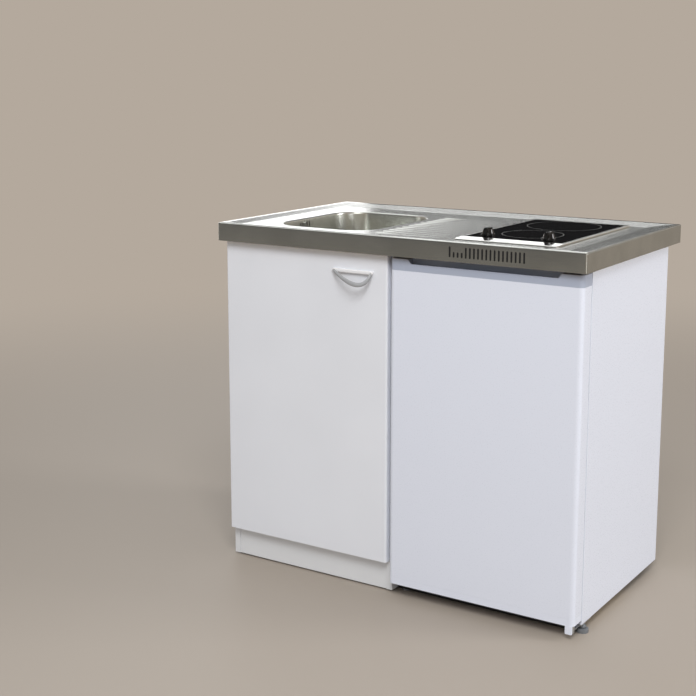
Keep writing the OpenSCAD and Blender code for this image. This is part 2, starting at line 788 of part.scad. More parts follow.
// Thin back panel with an open notch for the pipes
module cabinet_back() {
    color("#e0e0e0") difference() {
        block([cab_x0 + 2, cab_y1, cabinet_floor_z], [cab_x1 - 2, cab_y1 + back_t, z_carcass - 1]);
        block([bowl_cx - outlet_cut_w / 2, cab_y1 - e, outlet_cut_z],
              [bowl_cx + outlet_cut_w / 2, cab_y1 + back_t + e, z_carcass]);
    }
}

// Upright rails between the sides, at the top front and the top back
module cabinet_rails() {
    for (y = [cab_y0, cab_y1 - board_t])
        color("#e4e4e4") block([cab_x0 + board_t, y, z_carcass - rail_h], [cab_x1 - board_t, y + board_t, z_carcass]);
}

module plinth() {
    color("#d6d7d9") block([cab_x0 + board_t, cab_y0 + plinth_inset, glide_h],
                           [cab_x1 - board_t, cab_y0 + plinth_inset + board_t, cabinet_floor_z]);
}

module cabinet_glides() {
    for (x = [cab_x0 + board_t / 2, cab_x1 - board_t / 2], y = [cab_y0 + 40, cab_y1 - 40])
        color("#8c8c8c") rod_z([x, y, 0], 7.5, glide_h);
}

module cabinet_door() {
    color("#dcdde0") difference() {
        block([door_x0, door_y0, door_bottom], [door_x1, door_y1, door_top]);
        for (z = cup_z) rod_y([cup_x, door_y1 - cup_hole_depth, z], cup_hole_r, cup_hole_depth + e);
        for (x = [handle_x0 + handle_screw_inset, handle_x1 - handle_screw_inset])
            rod_y([x, door_y0 - e, handle_z], screw_r + run, door_t + 2 * e);
    }
}

// Hinge cups let into the back of the door, with their screwed flanges
module hinge_cups() {
    for (z = cup_z) color("#b9bcc0") difference() {
        union() {
            rod_y([cup_x, door_y1 - cup_hole_depth + 0.5, z], cup_hole_r - run, cup_hole_depth - 0.5);
            block([cup_x - 12, door_y1, z - 30], [cup_x + 16, door_y1 + 1, z + 30]);
        }
        rod_y([cup_x, door_y1 - cup_hole_depth + 2, z], cup_hole_r - 2.5, cup_hole_depth + e);
        for (s = [-1, 1]) rod_y([cup_x + 6, door_y1 - e, z + s * 24], 2.2, 3);
    }
}

// Hinge arms and their plates on the cabinet's left side
module hinge_arms() {
    x = cab_x0 + board_t;
    for (z = cup_z) color("#b9bcc0") {
        difference() {
            block([x, cab_y0 + 20, z - 22], [x + 2, cab_y0 + 62, z + 22]);
            for (s = [-1, 1]) rod_x([x - e, cab_y0 + 37, z + s * 16], 2.2, 4);
        }
        block([x + 2, cab_y0 + 26, z - 9], [x + 8, cab_y0 + 80, z + 9]);
        difference() {
            block([x + 8, cab_y0 + 4, z - 7], [x + 17, cab_y0 + 88, z + 7]);
            rod_x([x + 12, cab_y0 + 40, z], 3.5, 6);
            rod_x([x + 12, cab_y0 + 66, z], 3.5, 6);
        }
    }
}

module door_bumpers() {
    for (z = [door_bottom + 30, door_top - 30])
        color("#d9d9d6") rod_y([door_x1 - 6, door_y1, z], bumper_r, door_gap - slip);
}

// Points along the handle's bow: it hangs and stands out most near its right end
function bow_point(t) =
    let (w = handle_w - handle_rail_h, k = 3 * t * (1 - t) * (1 - t), m = 3 * t * t * (1 - t))
    [handle_x0 + handle_rail_h / 2 + w * (0.4 * k + 0.88 * m + t * t * t),
     door_y0 - handle_rail_t / 2 - (handle_out - handle_rail_t / 2 - bow_half_t) * pow(sin(180 * t), 0.8),
     handle_z - handle_drop * 1.03 * (0.62 * k + 1.82 * m)];
bow_steps = 22;
bow_sides = 12;
bow_half_t = 3.2;
bow_half_h = 5.6;

// One ring of the bow: an oval standing across the bow's direction
function bow_ring(i) =
    let (t = i / bow_steps, p = bow_point(t),
         d = bow_point(min(1, t + 0.01)) - bow_point(max(0, t - 0.01)),
         flat = [d[0], d[1], 0] / norm([d[0], d[1], 0]),
         across = [flat[1], -flat[0], 0],
         full = d / norm(d),
         up = cross(across, full),
         taper = 0.62 + 0.38 * sin(180 * t))
    [for (k = [0 : bow_sides - 1]) let (a = 360 * k / bow_sides)
        p + across * bow_half_t * cos(a) + up * bow_half_h * taper * sin(a)];

// Handle: a straight rail on the door and a bow that hangs from its ends
module door_handle() {
    rings = [for (i = [0 : bow_steps]) each bow_ring(i)];
    n = bow_sides;
    sides = [for (i = [0 : bow_steps - 1], k = [0 : n - 1])
        let (a = i * n + k, b = i * n + (k + 1) % n) each [[a, b, b + n], [a, b + n, a + n]]];
    caps = [[for (k = [n - 1 : -1 : 0]) k], [for (k = [0 : n - 1]) bow_steps * n + k]];
    r = handle_rail_h / 2;
    color("#e6e7e8") difference() {
        union() {
            translate([0, door_y0, 0]) rotate([90, 0, 0]) linear_extrude(handle_rail_t)
                translate([(handle_x0 + handle_x1) / 2, handle_z])
                    rotate([0, 0, 90]) slot_outline(handle_w, handle_rail_h);
            intersection() {
                polyhedron(rings, concat(sides, caps), convexity = 4);
                block([handle_x0, door_y0 - handle_out - e, handle_z - 2 * handle_drop],
                      [handle_x1, door_y0, handle_z + handle_rail_h]);
            }
        }
        for (x = [handle_x0 + handle_screw_inset, handle_x1 - handle_screw_inset])
            rod_y([x, door_y0 - handle_rail_t + 2, handle_z], screw_r + run, handle_rail_t);
    }
}

module handle_screws() {
    for (x = [handle_x0 + handle_screw_inset, handle_x1 - handle_screw_inset]) color("#c0c0c0") {
        rod_y([x, door_y0 - handle_rail_t + 3, handle_z], screw_r, handle_rail_t - 3 + door_t);
        rod_y([x, door_y1, handle_z], 3.6, door_gap - 0.5);
    }
}

// ---------- refrigerator body ----------

// Painted sheet wrapped over the sides, with a top panel let in between them
module fridge_wrap() {
    color("#e9e8ee") {
        difference() {
            block([fr_x0, fr_y0, fr_z0], [fr_x1, fr_y1, z_carcass]);
            block([fr_x0 + skin, fr_y0 + skin, fr_z0 - e], [fr_x1 - skin, fr_y1 + e, fr_z1 - skin]);
            block([fr_x0 + skin, fr_y0 - e, fr_z1], [fr_x1 - skin, fr_y1 + e, z_carcass + e]);
            block([fr_x0 + flange_w, fr_y0 - e, fr_z0 + flange_w], [fr_x1 - flange_w, fr_y0 + 2 * e, fr_z1 - flange_w]);
        }
    }
}

// The space of the larder: the main room over the compressor hump and the low room before it
module room(grow) {
    g = [grow, 0, grow];
    block([inner_x0 - grow, fr_y0 - 2 * e, hump_z - grow], [inner_x1 + grow, inner_y1 + grow, inner_z1 + grow]);
    block([inner_x0 - grow, fr_y0 - 2 * e, inner_z0 - grow], [inner_x1 + grow, hump_y + grow, hump_z + grow + e]);
}

module fridge_insulation() {
    color("#e8dcb8") difference() {
        block([fr_x0 + skin, fr_y0 + skin, fr_z0], [fr_x1 - skin, foam_y1, fr_z1 - skin]);
        room(liner_t);
        block([fr_x0, bay_y0, fr_z0 - e], [fr_x1, foam_y1 + e, bay_z1]);
    }
}

// Moulded inner lining with its front flange and the shelf ledges
module fridge_liner() {
    color("#f2f3f5") {
        difference() {
            union() {
                block([fr_x0 + flange_w, fr_y0, fr_z0 + flange_w],
                      [fr_x1 - flange_w, fr_y0 + skin, fr_z1 - flange_w]);
                intersection() {
                    room(liner_t);
                    block([fr_x0, fr_y0, fr_z0], [fr_x1, fr_y1, fr_z1]);
                }
            }
            room(0);
        }
        for (z = concat(shelf_z, [hump_z]), s = [-1, 1]) {
            x = s < 0 ? inner_x0 : inner_x1 - ledge_rib;
            block([x, contents_y0, z - ledge_rib], [x + ledge_rib, z > hump_z ? inner_y1 : hump_y, z]);
        }
    }
}

// Sheet base across the compressor bay
module fridge_base() {
    color("#3a3c3f") {
        block([fr_x0 + skin, bay_y0 - 20, fr_z0 - base_t], [fr_x1 - skin, fr_y1 - 4, fr_z0]);
        for (y = [bay_cy - compressor_r - 10, bay_cy + compressor_r + 8])
            block([fr_x0 + skin, y, fr_z0], [fr_x1 - skin, y + 2, fr_z0 + 6]);
    }
}

// Black rail across the front below the body, hiding the left foot
module front_rail() {
    color("#161618") {
        block([fr_x0 + skin, fr_y0, rail_lift], [pin_x - hinge_w - 3, fr_y0 + skin, fr_z0]);
        block([fr_x0 + 40, fr_y0, fr_z0 - 1.5], [pin_x - 52, fr_y0 + 12, fr_z0]);
    }
}

// Hermetic compressor on its footplate and rubber mounts
module compressor() {
    r = compressor_r;
    h = compressor_h;
    color("#1c1c1e") {
        translate([bay_cx, bay_cy, compressor_z0]) rotate_extrude() polygon(concat(
            [[0, 0], [r * 0.72, 0]],
            [for (a = [-80 : 20 : 0]) [r * 0.72 + r * 0.28 * cos(a), h * 0.14 + h * 0.14 * sin(a)]],
            [[r, h * 0.42], [r * 1.06, h * 0.42], [r * 1.06, h * 0.45], [r, h * 0.45]],
            [for (a = [0 : 15 : 75]) [r * cos(a), h * 0.62 + h * 0.38 * sin(a)]],
            [[r * 0.2, h], [0, h]]));
        block([bay_cx - r, bay_cy - r * 0.7, compressor_z0 - 2], [bay_cx + r, bay_cy + r * 0.7, compressor_z0 + 2]);
        for (sx = [-1, 1], sy = [-1, 1])
            rod_z([bay_cx + sx * r * 0.86, bay_cy + sy * r * 0.56, fr_z0], 8, compressor_z0 - fr_z0 - 1);
        block([bay_cx + r * 0.8, bay_cy - 22, compressor_z0 + 40], [bay_cx + r + 26, bay_cy + 22, compressor_z0 + 92]);
    }
}

// Evaporating tray on top of the compressor
module drip_tray() {
    z0 = compressor_z0 + compressor_h;
    hx = 70;
    hy = 48;
    color("#d0d1d2") difference() {
        block([bay_cx - hx, bay_cy - hy, z0], [bay_cx + hx, bay_cy + hy, z0 + 16]);
        block([bay_cx - hx + 2, bay_cy - hy + 2, z0 + 2], [bay_cx + hx - 2, bay_cy + hy - 2, z0 + 17]);
    }
}

// Serpentine tube on a louvred sheet across the back
module condenser() {
    y = foam_y1 + 14;
    x0 = fr_x0 + 60;
    x1 = fr_x1 - 60;
    pitch = 44;
    runs = floor((fr_z1 - bay_z1 - 90) / pitch);
    z0 = bay_z1 + 50;
    r = 2.6;
    color("#222224") {
        difference() {
            block([x0 - 30, y, z0 - 16], [x1 + 30, y + 0.8, z0 + (runs - 1) * pitch + 16]);
            for (i = [0 : runs - 2], j = [0 : 7])
                translate([x0 + 16 + j * (x1 - x0 - 32) / 7, y, z0 + (i + 0.5) * pitch])
                    rotate([90, 0, 0]) linear_extrude(6, center = true)
                        slot_outline(pitch * 0.6, 6, $fn = 24);
        }
        for (i = [0 : runs - 1]) rod_x([x0, y + r, z0 + i * pitch], r, x1 - x0, $fn = 16);
        for (i = [0 : runs - 2]) {
            right = i % 2 == 0;
            translate([right ? x1 : x0, y + r, z0 + (i + 0.5) * pitch])
                rotate([90, right ? 90 : -90, 0]) rotate_extrude(angle = 180)
                    translate([pitch / 2, 0]) circle(r = r, $fn = 16);
        }
        for (x = [x0 - 22, x1 + 10], z = [z0, z0 + (runs - 1) * pitch - 12])
            block([x, foam_y1, z], [x + 12, y, z + 12]);
    }
}

// Thermostat housing on the right wall
module thermostat_housing() {
    color("#eceef0") difference() {
        block([inner_x1 - thermo_w, thermo_y0, thermo_z0], [inner_x1, thermo_y0 + thermo_d, thermo_z0 + thermo_h]);
        rod_x([inner_x1 - thermo_w - e, thermo_y0 + 34, thermo_z0 + thermo_h / 2], shaft_r + run, 16);
        for (i = [0 : 4])
            block([inner_x1 - thermo_w + 6, thermo_y0 + thermo_d - 32 + i * 6, thermo_z0 - e],
                  [inner_x1 - 6, thermo_y0 + thermo_d - 30 + i * 6, thermo_z0 + 3]);
    }
}

module thermostat_knob() {
    x = inner_x1 - thermo_w;
    y = thermo_y0 + 34;
    z = thermo_z0 + thermo_h / 2;
    color("#f4f5f6") {
        rod_x([x - slip - 10, y, z], thermo_knob_r, 10);
        rod_x([x - slip - 1, y, z], shaft_r, 14);
        intersection() {
            rod_x([x - slip - 16, y, z], thermo_knob_r - 1, 8);
            block([x - slip - 16, y - 3, z - thermo_knob_r], [x - slip - 8, y + 3, z + thermo_knob_r]);
        }
    }
}

// Ribbed lamp cover behind the thermostat
module lamp_cover() {
    y0 = thermo_y0 + thermo_d + slip;
    color("#f6f6f0") difference() {
        block([inner_x1 - thermo_w + 4, y0, thermo_z0], [inner_x1, y0 + lamp_d, thermo_z0 + thermo_h]);
        block([inner_x1 - thermo_w + 7, y0 + 2, thermo_z0 + 3], [inner_x1 + e, y0 + lamp_d - 2, thermo_z0 + thermo_h - 3]);
        for (i = [0 : 6])
            block([inner_x1 - thermo_w + 3, y0 + 6 + i * 7, thermo_z0 + 8],
                  [inner_x1 - thermo_w + 5, y0 + 9 + i * 7, thermo_z0 + thermo_h - 8]);
    }
}

// Glass shelf with a raised edge at the front and back
module shelf(z) {
    x0 = inner_x0 + 1.5;
    x1 = inner_x1 - 1.5;
    color("#cfe0dc") {
        block([x0, contents_y0, z], [x1, inner_y1 - 8, z + shelf_t]);
        block([x0, contents_y0 - 3, z - 5], [x1, contents_y0, z + shelf_t + 3]);
        block([x0, inner_y1 - 8, z], [x1, inner_y1 - 4, z + shelf_t + 8]);
    }
}
module glass_shelf_upper() { shelf(shelf_z[1]); }
module glass_shelf_lower() { shelf(shelf_z[0]); }
module crisper_cover() { shelf(hump_z); }

// Open bin with a grip lip, sliding on the lining's floor
module crisper_drawer() {
    w = rack_wall;
    z0 = inner_z0 + slip;
    z1 = z0 + drawer_h;
    color("#dfe8ec") {
        difference() {
            block([drawer_x0, contents_y0, z0], [drawer_x1, drawer_y1, z1]);
            block([drawer_x0 + w, contents_y0 + w, z0 + w], [drawer_x1 - w, drawer_y1 - w, z1 + e]);
        }
        block([drawer_x0 + drawer_grip, contents_y0 + w, z1 - 8], [drawer_x1 - drawer_grip, contents_y0 + 14, z1 - 5]);
        for (i = [1 : 4]) {
            x = drawer_x0 + i * (drawer_x1 - drawer_x0) / 5;
            block([x - 1.5, contents_y0 + w, z0 + w], [x + 1.5, drawer_y1 - w, z0 + w + 3]);
        }
    }
}

// Screw-in levelling feet under the front corners
module front_feet() {
    for (x = [fr_x0 + 18, fr_x1 - 4]) color("#6d6e70") {
        rod_z([x, fr_y0 + 15, 0], 14, 9);
        rod_z([x, fr_y0 + 15, 8], 5, fr_z0 - 8 - (x > bay_cx ? hinge_t : 0));
        rod_z([x, fr_y0 + 15, 12], 9, 4, $fn = 6);
    }
}

module rear_feet() {
    for (x = [fr_x0 + 34, fr_x1 - 34])
        color("#55565a") {
            rod_z([x, fr_y1 - 34, 0], 16, fr_z0 - base_t - 6);
            rod_z([x, fr_y1 - 34, fr_z0 - base_t - 7], 10, 7);
        }
}

// Lower hinge: a plate under the body, a tongue below the door and the pin with its collar
module lower_hinge() {
    z0 = fr_z0 - hinge_t;
    color("#9b9da0") {
        difference() {
            union() {
                block([pin_x - 48, fr_y0 + 1, z0], [fr_x1 - 1, fr_y0 + 56, fr_z0]);
                block([pin_x - hinge_w, pin_y, z0], [pin_x + hinge_w, fr_y0 + 2, fr_z0]);
                rod_z([pin_x, pin_y, z0], hinge_w, hinge_t);
            }
            for (x = [pin_x - 38, pin_x - 14]) rod_z([x, fr_y0 + 44, z0 - e], 2.5, hinge_t + 2 * e);
        }
        rod_z([pin_x, pin_y, z0 - 6], pin_r + 2.5, 6.5);
        rod_z([pin_x, pin_y, z0 + 1], hinge_w, fd_z0 - slip - z0 - 1);
        rod_z([pin_x, pin_y, fr_z0 - 0.5], pin_r, btrim_z - fr_z0 - 2);
    }
}

// Upper hinge: a plate on the sunk top panel and a pin down into the door
module upper_hinge() {
    color("#9b9da0") {
        difference() {
            union() {
                block([pin_x - 46, fr_y0 + 3, fr_z1], [fr_x1 - skin - 1, fr_y0 + 40, fr_z1 + hinge_t]);
                block([pin_x - hinge_w, pin_y, fr_z1], [pin_x + hinge_w, fr_y0 + 4, fr_z1 + hinge_t]);
                rod_z([pin_x, pin_y, fr_z1], hinge_w, hinge_t);
            }
            for (x = [pin_x - 36, pin_x - 12]) rod_z([x, fr_y0 + 28, fr_z1 - e], 2.5, hinge_t + 2 * e);
        }
        rod_z([pin_x, pin_y, fd_z1 - 14], pin_r, fr_z1 + 1 - fd_z1 + 14);
    }
}

// ---------- refrigerator door ----------

// The door's plan: round upright edges at the front, square at the back
module door_plan(inset, past = 0) {
    r = max(door_edge_r - inset, 1);
    x0 = fd_x0 + inset;
    x1 = fd_x1 - inset;
    y0 = fd_y0 + inset;
    translate([x0 + r, y0]) square([x1 - x0 - 2 * r, r + 1]);
    translate([x0, y0 + r]) square([x1 - x0, fd_y1 + past - y0 - r]);
    for (x = [x0 + r, x1 - r]) translate([x, y0 + r]) circle(r = r);
}

// Painted skin round the front and the two sides
module fridge_door_panel() {
    color("#d4d9e6") translate([0, 0, btrim_z]) linear_extrude(trim_z - btrim_z) difference() {
        door_plan(0);
        door_plan(skin, e);
    }
}

// The ring that the magnetic seal fills, let into the back of the door
module seal_ring(past) {
    x0 = fd_x0 + gasket_inset;
    x1 = fd_x1 - gasket_inset;
    z0 = fd_z0 + gasket_inset + 6;
    z1 = fd_z1 - gasket_inset;
    w = gasket_w;
    difference() {
        block([x0, fd_y1 - 2, z0], [x1, fd_y1 + past, z1]);
        block([x0 + w, fd_y1 - 2 - e, z0 + w], [x1 - w, fd_y1 + past + e, z1 - w]);
    }
}

// Top strip with the hand grip scooped out of its front edge
module door_top_trim() {
    gx0 = fd_x0 + grip_margin;
    gx1 = fd_x1 - grip_margin - 4;
    slope = grip_h * 0.8;
    pocket_y = fd_y0 + grip_lip_t;
    color("#aab0bf") difference() {
        translate([0, 0, trim_z]) linear_extrude(top_trim_h) door_plan(0);
        translate([0, fd_y0 + grip_lip_t + 1, 0]) rotate([90, 0, 0]) linear_extrude(grip_lip_t + 2 * e)
            polygon([[gx0, fd_z1 - grip_h], [gx1, fd_z1 - grip_h], [gx1 + slope, fd_z1 + e], [gx0 - slope, fd_z1 + e]]);
        block([gx0 - slope, pocket_y, trim_z + 4], [gx1 + slope, pocket_y + 22, fd_z1 + e]);
        rod_z([pin_x, pin_y, fd_z1 - 15], pin_r + run, 16);
        seal_ring(e);
    }
}

// Bottom strip with the lug that hides the lower hinge from the front
module door_bottom_trim() {
    color("#dfe2ea") difference() {
        union() {
            translate([0, 0, fd_z0]) linear_extrude(bottom_trim_h) door_plan(0);
            block([pin_x - 8, fd_y0, fr_z0 - 7], [pin_x + 8, fd_y0 + lug_t, fd_z0 + e]);
        }
        rod_z([pin_x, pin_y, fd_z0 - e], pin_r + run, bottom_trim_h + e - 1);
    }
}

// Inner door panel with its foam core, and the raised frame that carries the racks
module fridge_door_liner() {
    x0 = rack_x0 - dyke_w;
    x1 = rack_x1 + dyke_w;
    z0 = inner_z0 + 8;
    z1 = inner_z1 - 8;
    y1 = fd_y1 + dyke_h;
    color("#f0f1f4") difference() {
        union() {
            translate([0, 0, btrim_z]) linear_extrude(trim_z - btrim_z) door_plan(skin);
            difference() {
                block([x0, fd_y1 - 6, z0], [x1, y1, z1]);
                block([rack_x0, fd_y1 - 8, z0 + dyke_w], [rack_x1, y1 + e, z1 - dyke_w]);
            }
            for (z = rack_z, x = [rack_x0 - 1, rack_x1 - 5])
                block([x, fd_y1 - 6, z - 6], [x + 6, y1, z]);
        }
        seal_ring(e);
    }
}

// Magnetic seal round the back of the door
module door_gasket() {
    color("#c9cbd0") seal_ring(seal_gap - slip);
}

// Door rack: an open bin held between the sides of the inner door panel
module door_rack(z0, h) {
    w = rack_wall;
    color("#e9eef2") difference() {
        block([rack_x0, rack_y0, z0], [rack_x1, rack_y1, z0 + h]);
        block([rack_x0 + w, rack_y0 + w, z0 + w], [rack_x1 - w, rack_y1 - w, z0 + h + e]);
        block([rack_x0 + 12, rack_y1 - w - e, z0 + h * 0.62], [rack_x1 - 12, rack_y1 + e, z0 + h * 0.8]);
    }
}
module door_rack_lower() { door_rack(rack_z[0], rack_h * 1.3); }
module door_rack_upper() { door_rack(rack_z[1], rack_h); }

worktop();
sink_bowl();
subframe();
strainer_waste();
strainer_basket();
overflow_screw();
overflow_box();
overflow_pipe();
trap_body();
trap_outlet();
hob_frame();
hob_glass();
hob_pan();
heater_rear();
heater_front();
knob_left();
knob_right();
regulator_left();
regulator_right();
hob_gland();
hob_clamps();
cabinet_side_left();
cabinet_side_right();
cabinet_floor();
cabinet_back();
cabinet_rails();
plinth();
cabinet_glides();
hinge_arms();
cabinet_door();
door_handle();
handle_screws();
hinge_cups();
door_bumpers();
fridge_wrap();
fridge_insulation();
fridge_liner();
fridge_base();
front_rail();
compressor();
condenser();
drip_tray();
thermostat_housing();
thermostat_knob();
lamp_cover();
glass_shelf_upper();
glass_shelf_lower();
crisper_cover();
crisper_drawer();
front_feet();
rear_feet();
lower_hinge();
upper_hinge();
fridge_door_panel();
door_top_trim();
door_bottom_trim();
fridge_door_liner();
door_gasket();
door_rack_upper();
door_rack_lower();
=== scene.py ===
"""Looks for a kitchenette: pressed steel worktop, glass hob, sink cabinet and refrigerator.

Lengths are in millimetres here and become metres in the mesh. +X runs along the front from
the sink to the hob, +Y from the front to the wall, +Z up from the floor.
"""

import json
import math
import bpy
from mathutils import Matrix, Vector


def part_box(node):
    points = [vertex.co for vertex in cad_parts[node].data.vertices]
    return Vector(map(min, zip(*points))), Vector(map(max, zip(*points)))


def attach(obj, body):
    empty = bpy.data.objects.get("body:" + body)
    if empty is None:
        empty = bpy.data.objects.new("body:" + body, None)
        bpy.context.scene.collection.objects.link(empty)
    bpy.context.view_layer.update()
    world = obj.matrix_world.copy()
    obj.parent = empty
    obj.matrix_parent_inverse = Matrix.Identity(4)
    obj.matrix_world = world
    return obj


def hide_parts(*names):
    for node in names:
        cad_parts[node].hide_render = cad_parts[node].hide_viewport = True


bl_info = {
    "name": "Kitchenette Unit",
    "version": (1, 0, 0),
    "blender": (4, 5, 0),
    "location": "3D View > Sidebar > Kitchenette",
    "description": "Builds the visible pieces and finishes of a kitchenette unit",
    "category": "Add Mesh",
}

from contextlib import contextmanager
from types import SimpleNamespace

import bmesh
import bpy
from bpy.props import FloatProperty, FloatVectorProperty, IntProperty, PointerProperty
from mathutils import Vector
from mathutils.geometry import delaunay_2d_cdt

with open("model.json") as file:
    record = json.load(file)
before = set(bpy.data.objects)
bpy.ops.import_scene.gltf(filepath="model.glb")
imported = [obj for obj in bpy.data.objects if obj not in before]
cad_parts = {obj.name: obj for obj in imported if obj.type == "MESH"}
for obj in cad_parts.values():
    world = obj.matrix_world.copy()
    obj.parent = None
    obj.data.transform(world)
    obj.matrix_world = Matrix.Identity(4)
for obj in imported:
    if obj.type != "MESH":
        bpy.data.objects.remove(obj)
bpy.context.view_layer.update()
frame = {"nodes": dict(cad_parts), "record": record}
MM = 0.001


def cad(node):
    """Lowest and highest corner of a CAD node, in millimetres."""
    lo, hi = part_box(node)
    return Vector(lo) / MM, Vector(hi) / MM


TOP_LO, TOP_HI = cad("worktop")
BOWL_LO, BOWL_HI = cad("sink_bowl")
HOB_LO, HOB_HI = cad("hob_frame")
GLASS_LO, GLASS_HI = cad("hob_glass")


def tone(code, alpha=1.0):
    """An sRGB hex colour as the linear colour that Blender works in."""
    parts = [int(code[i : i + 2], 16) / 255 for i in (1, 3, 5)]
    return tuple(
        c / 12.92 if c <= 0.04045 else ((c + 0.055) / 1.055) ** 2.4 for c in parts
    ) + (alpha,)


# ---------------------------------------------------------------- settings


class KitchenetteStage(bpy.types.PropertyGroup):
    """Floor, light and camera"""

    floor_colour: FloatVectorProperty(
        name="Floor Colour", description="Colour of the floor and the backdrop",
        subtype="COLOR", size=4, min=0, max=1, default=tone("#b4a99d"))
    world_level: FloatProperty(
        name="World Level", description="Strength of the even light from all round",
        default=0.53, min=0, max=2, subtype="FACTOR")
    card_level: FloatProperty(
        name="Card Level",
        description="Brightness of the cards that the steel mirrors, as a factor",
        default=1.0, min=0, max=4, subtype="FACTOR")
    key_power: FloatProperty(
        name="Key Power", description="Power of the lamp in front; the others follow it",
        default=174.0, min=0, max=600, unit="POWER")


class KitchenetteSheet(bpy.types.PropertyGroup):
    """The pressed steel worktop and its bowl"""

    rim_side: FloatProperty(
        name="Side Rim", description="Width of the stepped rim at the left and the right",
        default=0.054, min=0.02, max=0.06, unit="LENGTH")
    rim_front: FloatProperty(
        name="Front Rim", description="Width of the stepped rim at the front",
        default=0.022, min=0.015, max=0.04, unit="LENGTH")
    ledge: FloatProperty(
        name="Back Ledge", description="Width of the stepped ledge along the back",
        default=0.095, min=0.02, max=0.105, unit="LENGTH")
    drop: FloatProperty(
        name="Field Drop", description="How far the field lies below the rim",
        default=0.003, min=0.001, max=0.006, unit="LENGTH")
    edge_radius: FloatProperty(
        name="Edge Radius", description="Radius of the fold round the outside",
        default=0.0028, min=0.0015, max=0.006, unit="LENGTH")
    roll_radius: FloatProperty(
        name="Bowl Roll", description="Radius between the field and the bowl's wall",
        default=0.005, min=0.002, max=0.01, unit="LENGTH")
    corner: FloatProperty(
        name="Bowl Corner", description="Radius of the bowl's upright corners",
        default=0.075, min=0.04, max=0.1, unit="LENGTH")
    draft: FloatProperty(
        name="Bowl Draft", description="How far the bowl's wall leans in",
        default=0.010, min=0.0, max=0.03, unit="LENGTH")
    fillet: FloatProperty(
        name="Bowl Fillet", description="Radius between the bowl's wall and floor",
        default=0.028, min=0.01, max=0.05, unit="LENGTH")
    rib_count: IntProperty(
        name="Ribs", description="Number of drainer ribs", default=12, min=0, max=16,
        subtype="UNSIGNED")
    rib_pitch: FloatProperty(
        name="Rib Pitch", description="Distance from one rib to the next",
        default=0.031, min=0.015, max=0.04, unit="LENGTH")
    colour: FloatVectorProperty(
        name="Steel Colour", description="Colour of the brushed sheet",
        subtype="COLOR", size=4, min=0, max=1, default=tone("#aeb0ac"))


class KitchenetteHob(bpy.types.PropertyGroup):
    """The glass hob and its knobs"""

    rear_zone: FloatProperty(
        name="Rear Zone", description="Radius of the rear cooking zone",
        default=0.090, min=0.06, max=0.11, unit="LENGTH")
    front_zone: FloatProperty(
        name="Front Zone", description="Radius of the front cooking zone",
        default=0.072, min=0.05, max=0.1, unit="LENGTH")
    dot: FloatProperty(
        name="Dot Size", description="Diameter of a printed dot",
        default=0.0022, min=0.001, max=0.004, unit="LENGTH")
    print_colour: FloatVectorProperty(
        name="Print Colour", description="Colour of the printed rings",
        subtype="COLOR", size=4, min=0, max=1, default=tone("#838481"))


class KitchenetteCabinet(bpy.types.PropertyGroup):
    """The sink cabinet with its door and handle"""

    door_colour: FloatVectorProperty(
        name="Door Colour", description="Colour of the melamine faced door",
        subtype="COLOR", size=4, min=0, max=1, default=tone("#e8ebf2"))
    board_colour: FloatVectorProperty(
        name="Board Colour", description="Colour of the cabinet's boards",
        subtype="COLOR", size=4, min=0, max=1, default=tone("#e1e3e6"))
    bow_drop: FloatProperty(
        name="Bow Drop", description="How far the handle's bow hangs below its rail",
        default=0.027, min=0.02, max=0.045, unit="LENGTH")
    edge: FloatProperty(
        name="Edge Radius", description="Radius of the boards' edge band",
        default=0.0011, min=0.0003, max=0.003, unit="LENGTH")


class KitchenetteFridge(bpy.types.PropertyGroup):
    """The under-counter refrigerator"""

    enamel: FloatVectorProperty(
        name="Enamel Colour", description="Colour of the painted sheet",
        subtype="COLOR", size=4, min=0, max=1, default=tone("#e4e9f6"))
    strip: FloatVectorProperty(
        name="Strip Colour", description="Colour of the strip along the door's top",
        subtype="COLOR", size=4, min=0, max=1, default=tone("#abb3c5"))
    edge: FloatProperty(
        name="Edge Radius", description="Radius on the door strips' long edges",
        default=0.0016, min=0.0005, max=0.004, unit="LENGTH")


# ---------------------------------------------------------------- materials


SHADER = "Principled BSDF"


def add(tree, kind, inputs=None, **settings):
    """A node with its settings; inputs holds values or (node, output) links."""
    node = tree.nodes.new(kind)
    for key, value in settings.items():
        setattr(node, key, value)
    for key, value in (inputs or {}).items():
        socket = node.inputs[key]
        if isinstance(value, tuple) and len(value) == 2 and hasattr(value[0], "outputs"):
            tree.links.new(value[0].outputs[value[1]], socket)
        else:
            socket.default_value = value
    return node


def surface(name, colour, roughness, metallic=0.0, **more):
    """A material with one Principled shader; more holds other sockets, with _ for a space."""
    mat = bpy.data.materials.new(name)
    mat.use_nodes = True
    tree = mat.node_tree
    tree.nodes.clear()
    shader = add(tree, "ShaderNodeBsdfPrincipled",
                 {"Base Color": colour, "Roughness": roughness, "Metallic": metallic})
    for key, value in more.items():
        shader.inputs[key.replace("_", " ")].default_value = value
    add(tree, "ShaderNodeOutputMaterial", {"Surface": (shader, "BSDF")})
    mat.diffuse_color = colour
    return mat


def pattern(mat, x, y=None, z=None, detail=2.0, cells=False):
    """A texture's link; x, y and z are its grain in mm, and cells makes it Voronoi."""
    tree = mat.node_tree
    place_at = add(tree, "ShaderNodeTexCoord")
    grid = add(tree, "ShaderNodeMapping", {
        "Vector": (place_at, "Object"), "Scale": [1 / (size * MM) for size in (x, y or x, z or x)]})
    inputs = {"Vector": (grid, "Vector"), "Scale": 1.0}
    if cells:
        return add(tree, "ShaderNodeTexVoronoi", inputs), "Distance"
    return add(tree, "ShaderNodeTexNoise", {**inputs, "Detail": detail}), "Fac"


def drive(mat, socket, node, output):
    """Links a node to one of the shader's sockets."""
    mat.node_tree.links.new(node.outputs[output], mat.node_tree.nodes[SHADER].inputs[socket])


